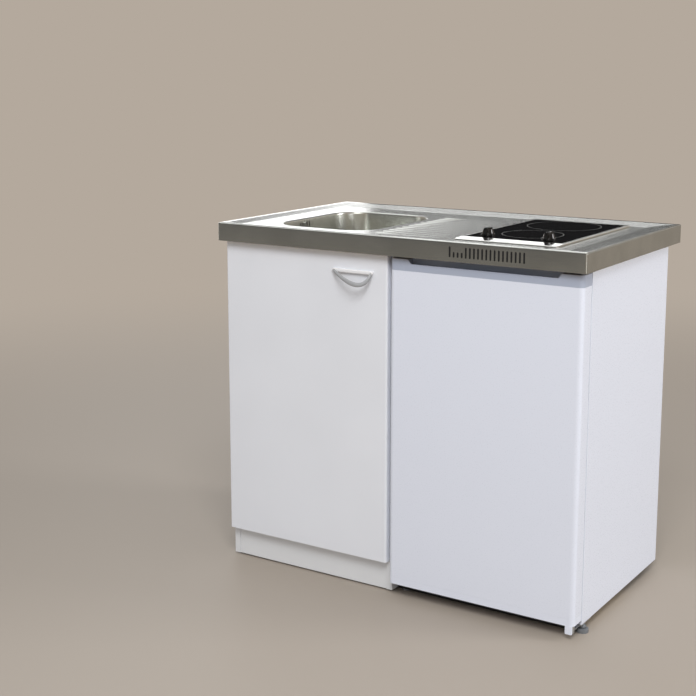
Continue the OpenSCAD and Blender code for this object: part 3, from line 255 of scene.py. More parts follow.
def raised(mat, link, strength, distance):
    """Raises the surface by a pattern, over a distance in mm."""
    bump = add(mat.node_tree, "ShaderNodeBump",
               {"Height": link, "Strength": strength, "Distance": distance * MM})
    drive(mat, "Normal", bump, "Normal")


def rough(mat, link, low, high, start=0.3, end=0.7):
    """Lets a pattern move the roughness between two values."""
    ramp = add(mat.node_tree, "ShaderNodeMapRange", {
        "Value": link, "From Min": start, "From Max": end, "To Min": low, "To Max": high})
    drive(mat, "Roughness", ramp, "Result")


def tint(mat, link, first, second, start=0.35, end=0.65):
    """Colours the surface between two tones by a pattern."""
    ramp = add(mat.node_tree, "ShaderNodeValToRGB", {"Fac": link})
    for stop, at, colour in zip(ramp.color_ramp.elements, (start, end), (first, second)):
        stop.position, stop.color = at, colour
    drive(mat, "Base Color", ramp, "Color")


def scaled(colour, k):
    """A colour made lighter or darker, short of white."""
    return tuple(min(1.0, c * k) for c in colour[:3]) + (1.0,)


def stainless_brushed(colour):
    """Austenitic sheet, cold rolled and brushed along X: reflections drawn out into soft streaks.

    Real brush lines are 0.05 mm wide. They are drawn 0.7 mm wide and 40 mm long, to show at all.
    """
    mat = surface("stainless_brushed", colour, 0.3, 1.0)
    streaks = pattern(mat, 40, 0.7143, 0.7143, detail=3.0)
    tint(mat, pattern(mat, 111.1, 71.43, 71.43), scaled(colour, 0.93), scaled(colour, 1.04))
    rough(mat, streaks, 0.17, 0.23)
    raised(mat, streaks, 0.10, 0.2)
    return mat


def stainless_satin(colour):
    """The same sheet after deep drawing: an even satin with a fine orange peel of 2.2 mm."""
    mat = surface("stainless_satin", colour, 0.3, 1.0)
    peel = pattern(mat, 2.222)
    rough(mat, peel, 0.21, 0.27)
    raised(mat, peel, 0.025, 0.3)
    return mat


def stainless_bright():
    """Stainless trim, pressed and polished: sharp reflections with a trace of wiping marks."""
    mat = surface("stainless_bright", tone("#cdcecb"), 0.16, 1.0)
    rough(mat, pattern(mat, 16.67, 1.111, 1.111), 0.12, 0.22)
    return mat


def zinc_sheet():
    """Zinc plated steel: a grey metal with crystal patches of 8 mm, some duller than others."""
    mat = surface("zinc_plated_steel", tone("#b4b7b9"), 0.4, 1.0)
    rough(mat, pattern(mat, 8.333, cells=True), 0.32, 0.5, 0.0, 1.0)
    return mat


def melamine(name, colour):
    """Melamine faced chipboard: resin paper pressed with a pearl of 1.5 mm, which dulls it."""
    mat = surface(name, colour, 0.42, IOR=1.5)
    pearl = pattern(mat, 1.5385)
    cloud = pattern(mat, 200, detail=1.0)
    tint(mat, cloud, scaled(colour, 0.985), scaled(colour, 1.01))
    rough(mat, pearl, 0.36, 0.48)
    raised(mat, pearl, 0.12, 0.3)
    return mat


def enamel(name, colour):
    """Steel sprayed and stoved: a hard gloss coat with a slight orange peel of 3 mm."""
    mat = surface(name, colour, 0.3, IOR=1.52, Coat_Weight=0.35, Coat_Roughness=0.12)
    peel = pattern(mat, 3.0303)
    rough(mat, peel, 0.26, 0.34)
    raised(mat, peel, 0.08, 0.4)
    return mat


def moulded(name, colour, roughness, grain=1.4286, strength=0.1):
    """Moulded material: an even colour with the fine grain of the mould.

    The real grain is 0.05 to 0.2 mm. It is drawn at 1.1 mm or more, to show at all.
    """
    mat = surface(name, colour, roughness, IOR=1.49)
    texture = pattern(mat, grain)
    rough(mat, texture, roughness * 0.88, roughness * 1.12)
    raised(mat, texture, strength, 0.3)
    return mat


def clear_plastic():
    """Clear polystyrene, injection moulded: see-through, a little milky, with 12 mm flow lines."""
    mat = surface("polystyrene_clear", tone("#e4edf3"), 0.12, IOR=1.59,
                  Transmission_Weight=0.45, Alpha=0.75)
    rough(mat, pattern(mat, 50, 12.5, 12.5, detail=1.0), 0.08, 0.18)
    return mat


def shelf_glass():
    """Toughened float glass: nearly clear with a green cast, and wiping marks of 25 mm."""
    mat = surface("float_glass", tone("#dbece6"), 0.04, IOR=1.52,
                  Transmission_Weight=0.8, Alpha=0.6)
    rough(mat, pattern(mat, 25, 83.33), 0.02, 0.09)
    return mat


def glass_ceramic():
    """Rolled glass ceramic: a black mirror with pale printed specks of 1 mm, 4 mm apart."""
    mat = surface("glass_ceramic_black", tone("#070708"), 0.04, IOR=1.54)
    specks = pattern(mat, 4.1667, cells=True)
    tint(mat, specks, tone("#26272a"), tone("#070708"), 0.10, 0.14)
    return mat


def chipboard():
    """Raw chipboard, glued and pressed: dull flakes of 2 to 3 mm in tan and brown."""
    mat = surface("chipboard_raw", tone("#c7ad83"), 0.85)
    flakes = pattern(mat, 3.3333, z=1.9231, cells=True)
    tint(mat, flakes, tone("#d6bd93"), tone("#a98c62"), 0.1, 0.7)
    raised(mat, flakes, 0.3, 0.4)
    return mat


def print_ink(name, colour):
    """Enamel, screen printed and fired: flat, a little rough, uneven over 1 mm."""
    mat = surface(name, colour, 0.5)
    screen = pattern(mat, 1.1111, detail=1.0)
    tint(mat, screen, scaled(colour, 0.86), scaled(colour, 1.08))
    rough(mat, screen, 0.42, 0.58)
    return mat


def vent_shade_sheet():
    """Painted shade: a matt black sheet behind the vents that stands for the dark cavity, with 1 mm
    cells that vary its black a little.
    """
    mat = surface("vent_painted_shade", tone("#070708"), 0.9, IOR=1.57)
    shade_cells = pattern(mat, 1, cells=True)
    tint(mat, shade_cells, tone("#040405"), tone("#0c0c0e"), 0.2, 0.7)
    return mat


# What is moulded, cast or extruded in one colour: its slot, its material, colour, roughness,
# grain in mm and the grain's strength
MOULDED = (
    # Polypropylene, injection moulded as pipes are: off-white with a waxy sheen
    ("drain_plastic", "polypropylene_white", "#e9e9e6", 0.42),
    # Mineral fibre pressed round the heater's wire: dull, rough and brown-grey
    ("heater_mineral", "mineral_fibre", "#9c9388", 0.9, 2.5, 0.4),
    # Phenolic, compression moulded and buffed: a deep gloss black
    ("black_plastic", "phenolic_black", "#060607", 0.14, 1.1111, 0.03),
    # Steatite, pressed and fired: cream and half matt
    ("beige_plastic", "steatite_beige", "#d8cfba", 0.5),
    # ABS from a polished mould: bright white and smooth
    ("white_plastic", "abs_white", "#eeeef0", 0.3, 1.25, 0.04),
    # Glass filled polyamide, injection moulded: mid grey and half matt
    ("grey_plastic", "polyamide_grey", "#74777b", 0.5),
    # Polyurethane foamed in the cavity: straw coloured, matt, with open pores
    ("foam", "polyurethane_foam", "#e6d9b0", 0.9, 2.0, 0.5),
    # ABS from an etched mould with a satin face, grey on the handle's bow: painted shade of its
    # lower face, which looks down out of the light
    ("handle_grey", "abs_satin_grey", "#a4a6a9", 0.45, 1.25, 0.05),
    # ABS coloured to go with the enamel: cool white and smooth
    ("trim_plastic", "abs_cool_white", "#e4e9f6", 0.3, 1.25, 0.04),
    # Polystyrene sheet, vacuum formed: pale grey with a soft sheen
    ("tray_plastic", "polystyrene_grey", "#cfd1d3", 0.4),
    # Soft vinyl, extruded round a magnet: light grey, dull and smooth
    ("seal_rubber", "vinyl_seal", "#c7c9cd", 0.6),
)
BOWL_LIGHTER = 1.42  # the drawn bowl is paler than the brushed sheet

FINISH = {}


def make_finishes(scene):
    """All materials by the slot or finish that they are for."""
    sheet, hob = scene.kitchenette_sheet, scene.kitchenette_hob
    cab, fridge = scene.kitchenette_cabinet, scene.kitchenette_fridge
    steel = tuple(sheet.colour)
    made = {slot: moulded(name, tone(code), *look) for slot, name, code, *look in MOULDED}
    made.update({
        "sheet_steel": stainless_brushed(steel),
        "bowl_steel": stainless_satin(scaled(steel, BOWL_LIGHTER)),
        "bright_steel": stainless_bright(),
        "zinc_sheet": zinc_sheet(),
        "batten_wood": chipboard(),
        "carcass_board": melamine("melamine_board", tuple(cab.board_colour)),
        "door_board": melamine("melamine_door", tuple(cab.door_colour)),
        "fridge_paint": enamel("stove_enamel", tuple(fridge.enamel)),
        "dark_steel": enamel("black_lacquer", tone("#18191b")),
        "ceramic_glass": glass_ceramic(),
        "shelf_glass": shelf_glass(),
        "clear_plastic": clear_plastic(),
        # ABS from an etched mould, coloured through: blue-grey with a soft sheen
        "strip_plastic": moulded("abs_blue_grey", tuple(fridge.strip), 0.34, 1.25, 0.05),
        # Painted shade: the black of the sheet seen through the vents
        "vent_shade_black": vent_shade_sheet(),
        "print_grey": print_ink("fired_ink_grey", tuple(hob.print_colour)),
        "print_white": print_ink("fired_ink_white", tone("#e8e8e6")),
    })
    return made


# ---------------------------------------------------------------- mesh helpers


def linked(name, data):
    """A new object in the scene."""
    obj = bpy.data.objects.new(name, data)
    bpy.context.scene.collection.objects.link(obj)
    return obj


def place(mesh, name, body, finish=None, replaces=()):
    """Puts a finished mesh in the scene, on its body, with a finish unless it has its own."""
    obj = linked(name, mesh)
    if finish:
        mesh.materials.append(FINISH[finish])
    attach(obj, body)
    if replaces:
        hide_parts(*replaces)


@contextmanager
def edited(mesh):
    """The mesh as a bmesh, which is written back at the end."""
    work = bmesh.new()
    work.from_mesh(mesh)
    yield work
    work.to_mesh(mesh)
    work.free()


def modified(mesh, kind, inputs=None, **settings):
    """The mesh as one modifier leaves it; inputs holds a node tree's inputs by identifier."""
    helper = linked("helper", mesh)
    change = helper.modifiers.new("change", kind)
    for key, value in settings.items():
        setattr(change, key, value)
    for identifier, value in (inputs or {}).items():
        change[identifier] = value
    graph = bpy.context.evaluated_depsgraph_get()
    result = bpy.data.meshes.new_from_object(helper.evaluated_get(graph))
    bpy.data.objects.remove(helper)
    return result


def mesh_from(name, verts, faces, weld=0.01, outward=False):
    """A mesh from millimetre points, with doubles merged and, if asked, its faces outwards."""
    mesh = bpy.data.meshes.new(name)
    mesh.from_pydata([tuple(c * MM for c in v) for v in verts], [], faces)
    with edited(mesh) as work:
        if weld:
            bmesh.ops.remove_doubles(work, verts=work.verts, dist=weld * MM)
        if outward:
            bmesh.ops.recalc_face_normals(work, faces=work.faces)
    return mesh


def smooth(mesh, angle):
    """Smooth shading that breaks at edges sharper than the angle, with flats kept flat.

    The normals are weighed by face area, so that a large flat stays flat beside a round edge.
    """
    mesh.polygons.foreach_set("use_smooth", [True] * len(mesh.polygons))
    limit = math.radians(angle)
    with edited(mesh) as work:
        for edge in work.edges:
            edge.smooth = len(edge.link_faces) == 2 and edge.calc_face_angle(0) < limit
    return modified(mesh, "WEIGHTED_NORMAL", keep_sharp=True, weight=100)


def polar(cx, cy, r, degrees):
    """The point of a circle at an angle."""
    a = math.radians(degrees)
    return cx + r * math.cos(a), cy + r * math.sin(a)


def at(loop, z):
    """A loop's points at a height."""
    return [(x, y, z) for x, y in loop]


def rounded_loop(x0, y0, x1, y1, r, steps):
    """Points of a rectangle with round corners, counter-clockwise; r may be near 0."""
    corners = ((x1 - r, y1 - r), (x0 + r, y1 - r), (x0 + r, y0 + r), (x1 - r, y0 + r))
    return [polar(cx, cy, r, 90 * k + 90 * i / steps)
            for k, (cx, cy) in enumerate(corners) for i in range(steps + 1)]


def stadium_loop(xa, xb, y, r, steps, between=()):
    """Points round a bar with round ends along X; between holds more places along its sides."""
    turn = [-90 + 180 * i / steps for i in range(steps + 1)]
    points = [polar(xb, y, r, a) for a in turn]
    points += [(xa + (xb - xa) * t, y + r) for t in reversed(between)]
    points += [polar(xa, y, -r, a) for a in turn]
    points += [(xa + (xb - xa) * t, y - r) for t in between]
    return points


def inside(loop, x, y):
    """True if a point lies inside a closed loop."""
    hit = False
    for (xa, ya), (xb, yb) in zip(loop, loop[1:] + loop[:1]):
        if (ya > y) != (yb > y) and x < (xb - xa) * (y - ya) / (yb - ya) + xa:
            hit = not hit
    return hit


def filled(loops, holes, lifted):
    """Triangles between loops, without those inside the holes; lifted gives a point its place."""
    points, edges = [], []
    for loop in loops + holes:
        start = len(points)
        points += [Vector(p) for p in loop]
        edges += [(start + i, start + (i + 1) % len(loop)) for i in range(len(loop))]
    verts, _, faces, *_ = delaunay_2d_cdt(points, edges, [], 0, 1e-4)
    keep = []
    for face in faces:
        x, y = (sum(verts[i][axis] for i in face) / 3 for axis in (0, 1))
        if not any(inside(hole, x, y) for hole in holes):
            keep.append(list(face))
    return [lifted(v[0], v[1]) for v in verts], keep


def rings(loops, capped=False):
    """Quads between loops of the same number of points, with a face at each end if capped."""
    n = len(loops[0])
    verts = [p for loop in loops for p in loop]
    faces = [[k * n + i, k * n + (i + 1) % n, (k + 1) * n + (i + 1) % n, (k + 1) * n + i]
             for k in range(len(loops) - 1) for i in range(n)]
    if capped:
        last = len(verts) - n
        faces += [list(range(n))[::-1], [last + i for i in range(n)]]
    return verts, faces


def joined(parts):
    """One list of points and faces from several."""
    verts, faces = [], []
    for v, f in parts:
        base = len(verts)
        verts += v
        faces += [[base + i for i in face] for face in f]
    return verts, faces


CAD_WELD = 2e-6  # points of a CAD mesh that lie closer than this, in metres, are one
FLAT = math.radians(0.6)  # faces of a CAD mesh that turn less than this are one
BEVEL_FROM = math.radians(35.0)  # edges sharper than this are rounded


def dressed(node, body, slot, bevel, segments=2, finish=None, upright=0.0):
    """A copy of a CAD node's solid with its sharp edges rounded, in place of the node.

    The upright edges at its front get a radius of their own where upright isn't 0.
    """
    lo, hi = cad(node)

    def in_front(vert):
        x, y, _ = vert.co / MM
        return y < lo.y + 0.05 and min(x - lo.x, hi.x - x) < 0.05

    mesh = bpy.data.meshes.new(node)
    with edited(mesh) as work:
        work.from_mesh(frame["nodes"][node].data)
        bmesh.ops.remove_doubles(work, verts=work.verts, dist=CAD_WELD)
        bmesh.ops.dissolve_limit(work, angle_limit=FLAT, verts=work.verts, edges=work.edges)
        if upright:
            ends = [edge for edge in work.edges if all(in_front(v) for v in edge.verts)
                    and abs(edge.verts[0].co.x - edge.verts[1].co.x) < 0.01 * MM]
            bmesh.ops.bevel(work, geom=ends, offset=upright * MM, segments=6, profile=0.5,
                            affect="EDGES")
    if bevel:
        mesh = modified(mesh, "BEVEL", width=bevel * MM, segments=segments, limit_method="ANGLE",
                        angle_limit=BEVEL_FROM, miter_outer="MITER_ARC")
    mesh = smooth(mesh, 50.0 if bevel else 32.0)
    place(mesh, node + "_dressed", body, finish or slot, (node,))


# ---------------------------------------------------------------- finishes and stage


class KITCHENETTE_OT_finishes(bpy.types.Operator):
    """Makes the materials and puts them on the solids that stay as they are"""

    bl_idname = "kitchenette.finishes"
    bl_label = "Finishes"

    def execute(self, context):
        FINISH.update(make_finishes(context.scene))
        for part in frame["record"]["subparts"]:
            for slot in frame["nodes"][part["node"]].material_slots:
                slot.link = "OBJECT"
                slot.material = FINISH[part["material_slot"]]
        return {"FINISHED"}


def standing(start, end, low, high):
    """Corners of an upright card between two points of the floor plan."""
    return [(*start, low), (*end, low), (*end, high), (*start, high)]


# Cards that only reflections see: name, brightness and corners in metres. The windows and
# panels are light. The flags are dark, and keep the light off parts of the steel.
CARDS = (
    ("window_left", 3.2, standing((-13, 10), (-6.5, 10), 0.2, 2.9)),
    ("window_back", 2.4, standing((-6.5, 10), (-2.7, 10), 3.3, 5.3)),
    ("window_high", 1.6, standing((-12, 10), (-6.3, 10), 5.6, 11.0)),
    ("window_right", 1.0, standing((1.5, 10), (6.0, 10), 4.0, 7.0)),
    ("ceiling_panel", 2.4,
     [(-3.6, -0.8, 4.2), (-0.8, -0.8, 4.2), (-0.8, 2.6, 4.2), (-3.6, 2.6, 4.2)]),
    ("side_panel", 3.0, standing((4.4, -4.0), (5.3, -2.4), 0.02, 1.4)),
    ("left_panel", 2.4, standing((-5.2, -3.2), (-5.6, -1.6), 0.02, 1.4)),
    ("flag_left", 0.01, standing((-13, 10), (-6.55, 10), 2.95, 5.55)),
    ("flag_back", 0.02, standing((-6.5, 10), (-0.5, 10), 0.9, 3.2)),
    ("flag_high", 0.01, standing((-6.1, 10), (1.4, 10), 5.4, 12.0)),
    ("flag_front", 0.18, standing((-7.5, -5), (-1.2, -5), 0.02, 7.0)),
)

# Lamps: name, place, aim and size in metres, and share of the key's power
LAMPS = (
    ("key", (1.9, -3.4, 4.3), (0, -0.2, 0.4), 2.2, 1.0),
    ("side", (4.6, 1.7, 2.4), (0.5, 0.2, 0.4), 1.6, 0.56),
)
WHITE = (1.0, 1.0, 1.0, 1.0)
FLOOR_HALF = 40.0  # metres from the middle of the floor to its edge
FLOOR_SHADE = 0.83  # the floor under the object against the backdrop far off
FADE_FROM, FADE_TO = 1.2, 4.5  # metres from the object in which the floor becomes backdrop

# The camera stands where the worktop's outline in the photograph puts it
CAMERA_PLACE = (1.5820, -2.9081, 1.2941)
CAMERA_TURN = (math.pi / 2 - 0.1739, 0.0, 0.5734)
CAMERA_SHIFT = -0.08
FOCAL_PIXELS, PHOTO_PIXELS, SENSOR = 1321.3, 696.0, 36.0


def backdrop_rays(tree):
    """1 for the rays that see the backdrop: the camera's, and those off metal or through glass."""
    path = add(tree, "ShaderNodeLightPath")
    seen = add(tree, "ShaderNodeMath", {0: (path, "Is Camera Ray"), 1: (path, "Is Glossy Ray")},
               operation="MAXIMUM")
    return add(tree, "ShaderNodeMath", {0: (seen, 0), 1: (path, "Is Transmission Ray")},
               operation="MAXIMUM"), 0


def stage_card(name, corners, material):
    """A flat card that belongs to the stage."""
    mesh = bpy.data.meshes.new(name)
    mesh.from_pydata(corners, [], [(0, 1, 2, 3)])
    mesh.materials.append(material)
    obj = linked(name, mesh)
    return obj


class KITCHENETTE_OT_stage(bpy.types.Operator):
    """Floor, lamps, cards for the reflections, even light and the camera"""

    bl_idname = "kitchenette.stage"
    bl_label = "Stage"

    def execute(self, context):
        scene = context.scene
        settings = scene.kitchenette_stage
        colour = tuple(settings.floor_colour)

        # Painted screed, rolled on: pale and half matt near the object, and fading into the
        # plain backdrop further off
        mat = surface("floor_paint", scaled(colour, FLOOR_SHADE), 0.6)
        tree = mat.node_tree
        middle = add(tree, "ShaderNodeTexCoord")
        reach = add(tree, "ShaderNodeVectorMath", {0: (middle, "Object")}, operation="LENGTH")
        fade = add(tree, "ShaderNodeMapRange",
                   {"Value": (reach, "Value"), "From Min": FADE_FROM, "From Max": FADE_TO},
                   interpolation_type="SMOOTHSTEP")
        share = add(tree, "ShaderNodeMath", {0: backdrop_rays(tree), 1: (fade, "Result")},
                    operation="MULTIPLY")
        glow = add(tree, "ShaderNodeEmission", {"Color": colour, "Strength": 1.0})
        mix = add(tree, "ShaderNodeMixShader",
                  {0: (share, 0), 1: (tree.nodes[SHADER], "BSDF"), 2: (glow, 0)})
        tree.links.new(mix.outputs[0], tree.nodes["Material Output"].inputs["Surface"])
        r = FLOOR_HALF
        stage_card("floor", [(-r, -r, 0), (r, -r, 0), (r, r, 0), (-r, r, 0)], mat)

        for name, level, corners in CARDS:
            cloth = surface(name, WHITE, 0.9)
            tree = cloth.node_tree
            shine = add(tree, "ShaderNodeEmission",
                        {"Color": WHITE, "Strength": level * settings.card_level})
            tree.links.new(shine.outputs[0], tree.nodes["Material Output"].inputs["Surface"])
            card = stage_card(name, corners, cloth)
            card.visible_camera = card.visible_diffuse = card.visible_shadow = False
            card.visible_transmission = False

        world = bpy.data.worlds.new("studio")
        scene.world = world
        world.use_nodes = True
        tree = world.node_tree
        tree.nodes.clear()
        light = add(tree, "ShaderNodeBackground",
                    {"Color": WHITE, "Strength": settings.world_level})
        wall = add(tree, "ShaderNodeBackground", {"Color": colour, "Strength": 1.0})
        mix = add(tree, "ShaderNodeMixShader",
                  {0: backdrop_rays(tree), 1: (light, 0), 2: (wall, 0)})
        add(tree, "ShaderNodeOutputWorld", {"Surface": (mix, 0)})

        for name, spot, aim, size, share in LAMPS:
            lamp = bpy.data.lights.new(name, "AREA")
            lamp.size = size
            lamp.energy = settings.key_power * share
            obj = linked(name, lamp)
            obj.location = spot
            obj.rotation_euler = (Vector(aim) - Vector(spot)).to_track_quat("-Z", "Y").to_euler()

        view = bpy.data.cameras.new("camera")
        view.sensor_width = SENSOR
        view.lens = FOCAL_PIXELS * SENSOR / PHOTO_PIXELS
        view.shift_y = CAMERA_SHIFT
        view.clip_end = 100.0
        camera = linked("camera", view)
        camera.location = CAMERA_PLACE
        camera.rotation_euler = CAMERA_TURN
        scene.camera = camera
        scene.view_settings.view_transform = "Standard"
        return {"FINISHED"}


# ---------------------------------------------------------------- the pressed worktop

# Sizes of the pressing that the settings leave alone, in millimetres
GAUGE = 0.9  # thickness of the sheet
OUTER_CORNER, INNER_CORNER = 1.2, 16.2  # radius of the rim's corners outside and at the field
CORNER_STEPS, RIM_RINGS = 10, 50
FLANGE, BOWL_GAUGE = 9.0, 1.0  # flange and gauge of the CAD bowl, which sets the opening
BOWL_STEPS, ROLL_RINGS = 24, (1.0, 0.8, 0.6, 0.42, 0.27, 0.14, 0.05)
MARGIN = 0.7  # a ring this far outside a roll or a rib keeps the field beyond it flat
WASTE_HOLE = 44.0  # radius of the hole under the waste's flange
HOB_EDGE = 10.0  # the hob's cut-out lies this far inside its frame

# Ribs start beside the bowl and run towards the hob, where they are lower and narrower
RIB_START, RIB_LENGTH, FIRST_RIB = 33.5, 169.0, 66.0
RIB_NEAR, RIB_FAR = (4.6, 2.3), (2.1, 0.4)  # half width and height
RIB_FADE = 4  # power of the fall from near to far
RIB_RINGS = (3.9, 3.2, 2.5, 1.8, 1.0, 0.3)
RIB_PLACES = (0.04, 0.09, 0.15, 0.22, 0.3, 0.4, 0.55, 0.75)

# Vents in the apron, measured from the top of the worktop and from the hob's middle
VENT_COUNT, VENT_PITCH, VENT_RADIUS, VENT_STEPS = 19, 10.3, 2.2, 8
VENT_SHIFT, VENT_DROP = -16.0, 23.5
VENT_REACH, SHORT_REACH, SHORT_VENTS = 10.15, -2.0, (1, 2, 3)
# The black sheet behind the vents is painted shade that makes the slots look dark: its half width,
# top, foot and corner
SHADE_SHEET_HALF, SHADE_SHEET_TOP, SHADE_SHEET_FOOT, SHADE_SHEET_CORNER = 99.0, 8.0, 39.0, 4.0
SHADE_SHEET_BACK, SHADE_SHEET_FRONT = 1.15, 0.95  # how far behind the apron's face its two faces lie

# Overflow slots in the bowl's left wall; the middle one is short
OVERFLOW_PLACE, OVERFLOW_PITCH, OVERFLOW_FOOT = 207.0, 10.0, 24.0
OVERFLOW_TALL, OVERFLOW_SHORT, OVERFLOW_RADIUS, OVERFLOW_WIDER = 16.0, 7.0, 2.0, 1.2

# Depth of the rim at each turn of its profile where it drops 3 mm, after the share of its width
# that lies before the turn at the left, the front, the back and the right
RIM_DROP = 3.0
RIM_TURNS = (
    (0.0, 0.6, 0.0, 0.0, 0.0, 0.0), (0.16, 0.1, 0.12, 0.26, 0.12, 0.014),
    (0.3, 0.0, 0.24, 0.5, 0.22, 0.04), (0.36, 0.05, 0.27, 0.56, 0.25, 0.1),
    (0.42, 0.35, 0.29, 0.64, 0.27, 0.24), (0.48, 0.42, 0.33, 0.68, 0.30, 0.3),
    (0.78, 2.45, 0.87, 0.76, 0.88, 0.92), (0.84, 2.5, 0.91, 0.82, 0.92, 0.94),
    (0.92, 2.95, 0.94, 0.92, 0.95, 0.97), (1.0, 3.0, 1.0, 1.0, 1.0, 1.0))


def rim_value(u, column):
    """The rim's profile at u, on straight lines through its turns."""
    for (ua, *va), (ub, *vb) in zip(RIM_TURNS, RIM_TURNS[1:]):
        if u <= ub:
            return va[column] + (vb[column] - va[column]) * (u - ua) / (ub - ua)
    return RIM_TURNS[-1][1 + column]


def sheet_plan(s):
    """The sizes of the pressing in millimetres, from the frame and the settings."""
    p = SimpleNamespace(**{key: getattr(s, key) / MM for key in (
        "rim_side", "rim_front", "ledge", "drop", "edge_radius", "roll_radius", "corner",
        "draft", "fillet", "rib_pitch")})
    p.x0, p.y0, p.z0 = TOP_LO
    p.x1, p.y1, p.z1 = TOP_HI
    p.field = p.z1 - p.drop
    p.bx0, p.by0 = BOWL_LO[0] + FLANGE, BOWL_LO[1] + FLANGE
    p.bx1, p.by1 = BOWL_HI[0] - FLANGE, BOWL_HI[1] - FLANGE
    p.bowl_floor = BOWL_LO[2] + BOWL_GAUGE
    p.rib_x0 = p.bx1 + RIB_START
    p.rib_x1 = p.rib_x0 + RIB_LENGTH
    p.rib_y = [p.y0 + FIRST_RIB + i * p.rib_pitch for i in range(s.rib_count)]
    p.vent_x = (HOB_LO[0] + HOB_HI[0]) / 2 + VENT_SHIFT
    return p


def bowl_loop(p, out):
    """The bowl's opening, moved outwards."""
    return rounded_loop(p.bx0 - out, p.by0 - out, p.bx1 + out, p.by1 + out, p.corner + out,
                        BOWL_STEPS)


def rim_loops(p):
    """Rings of the stepped rim, from the fold in to the field."""
    edge = p.edge_radius
    loops = []
    for i in range(RIM_RINGS + 1):
        u, step = i / RIM_RINGS, 1 / RIM_RINGS
        left, front, back, right = (
            edge + (width - edge) * rim_value(u, column)
            for column, width in ((1, p.rim_side), (2, p.rim_front), (3, p.ledge), (4, p.rim_side)))
        loop = rounded_loop(p.x0 + left, p.y0 + front, p.x1 - right, p.y1 - back,
                            OUTER_CORNER + (INNER_CORNER - OUTER_CORNER) * u, CORNER_STEPS)
        near = (max(0.0, u - step), u, min(1.0, u + step))
        z = p.z1 - p.drop / RIM_DROP * sum(rim_value(v, 0) for v in near) / 3.0
        loops.append(at(loop, z))
    return loops


def field(p, rim_end):
    """The field inside the rim: the roll into the bowl and the drainer's ribs."""
    roll, corner = p.roll_radius, p.corner
    near_half, near_high = RIB_NEAR
    far_half, far_high = RIB_FAR

    def lifted(x, y):
        z = p.field
        ex = max(p.bx0 + corner - x, x - p.bx1 + corner)
        ey = max(p.by0 + corner - y, y - p.by1 + corner)
        d = (math.hypot(ex, ey) if ex > 0 and ey > 0 else max(ex, ey)) - corner
        if d < roll:
            z -= roll - math.sqrt(max(0.0, roll * roll - (roll - max(0.0, d)) ** 2))
        along = min(1.0, max(0.0, (x - p.rib_x0) / (p.rib_x1 - p.rib_x0)))
        near_bowl = (1.0 - along) ** RIB_FADE
        half = far_half + (near_half - far_half) * near_bowl
        high = far_high + (near_high - far_high) * near_bowl
        for rib_y in p.rib_y:
            gap = math.hypot(max(0.0, p.rib_x0 - x, x - p.rib_x1), y - rib_y)
            if gap < half:
                z += high * 0.5 * (1 + math.cos(math.pi * gap / half))
        return (x, y, z)

    loops = [[(x, y) for x, y, _ in rim_end], bowl_loop(p, roll + MARGIN)]
    loops += [bowl_loop(p, roll * share) for share in ROLL_RINGS]
    loops += [stadium_loop(p.rib_x0, p.rib_x1, y, r, 10, RIB_PLACES)
              for y in p.rib_y for r in (near_half + MARGIN, near_half) + RIB_RINGS]
    xa, ya, xb, yb = (HOB_LO[0] + HOB_EDGE, HOB_LO[1] + HOB_EDGE,
                      HOB_HI[0] - HOB_EDGE, HOB_HI[1] - HOB_EDGE)
    hole = [(xa, ya), (xb, ya), (xb, yb), (xa, yb)]
    return filled(loops, [bowl_loop(p, 0), hole], lifted)


def apron(p, rim_z):
    """The fold, the apron round the sides and the back, and its front with the vents."""
    edge = p.edge_radius
    z_edge = rim_z - edge
    fold = []
    for a in (0, 18, 36, 54, 72, 90):
        out, up = polar(0, 0, edge, a)
        i = edge - out
        loop = rounded_loop(p.x0 + i, p.y0 + i, p.x1 - i, p.y1 - i, out + OUTER_CORNER,
                            CORNER_STEPS)
        fold.append(at(loop, z_edge + up))
    verts, faces = rings([[(x, y, p.z0) for x, y, _ in fold[0]], fold[0]])

    def at_front(face):
        a, b = verts[face[0]], verts[face[1]]
        return max(a[1], b[1]) < p.y0 + 0.01 and abs(a[0] - b[0]) > 100

    skirt = verts, [face for face in faces if not at_front(face)]
    xa, xb = p.x0 + edge + OUTER_CORNER, p.x1 - edge - OUTER_CORNER
    middle = p.z1 - VENT_DROP
    vents = []
    for i in range(VENT_COUNT):
        x = p.vent_x + (i - (VENT_COUNT - 1) / 2) * VENT_PITCH
        reach = SHORT_REACH if i in SHORT_VENTS else VENT_REACH
        loop = stadium_loop(middle - VENT_REACH, middle + reach, 0, VENT_RADIUS, VENT_STEPS)
        vents.append([(x + b, a) for a, b in loop])
    front = filled([[(xa, p.z0), (xb, p.z0), (xb, z_edge), (xa, z_edge)]], vents,
                   lambda x, z: (x, p.y0, z))
    return rings(fold), skirt, front


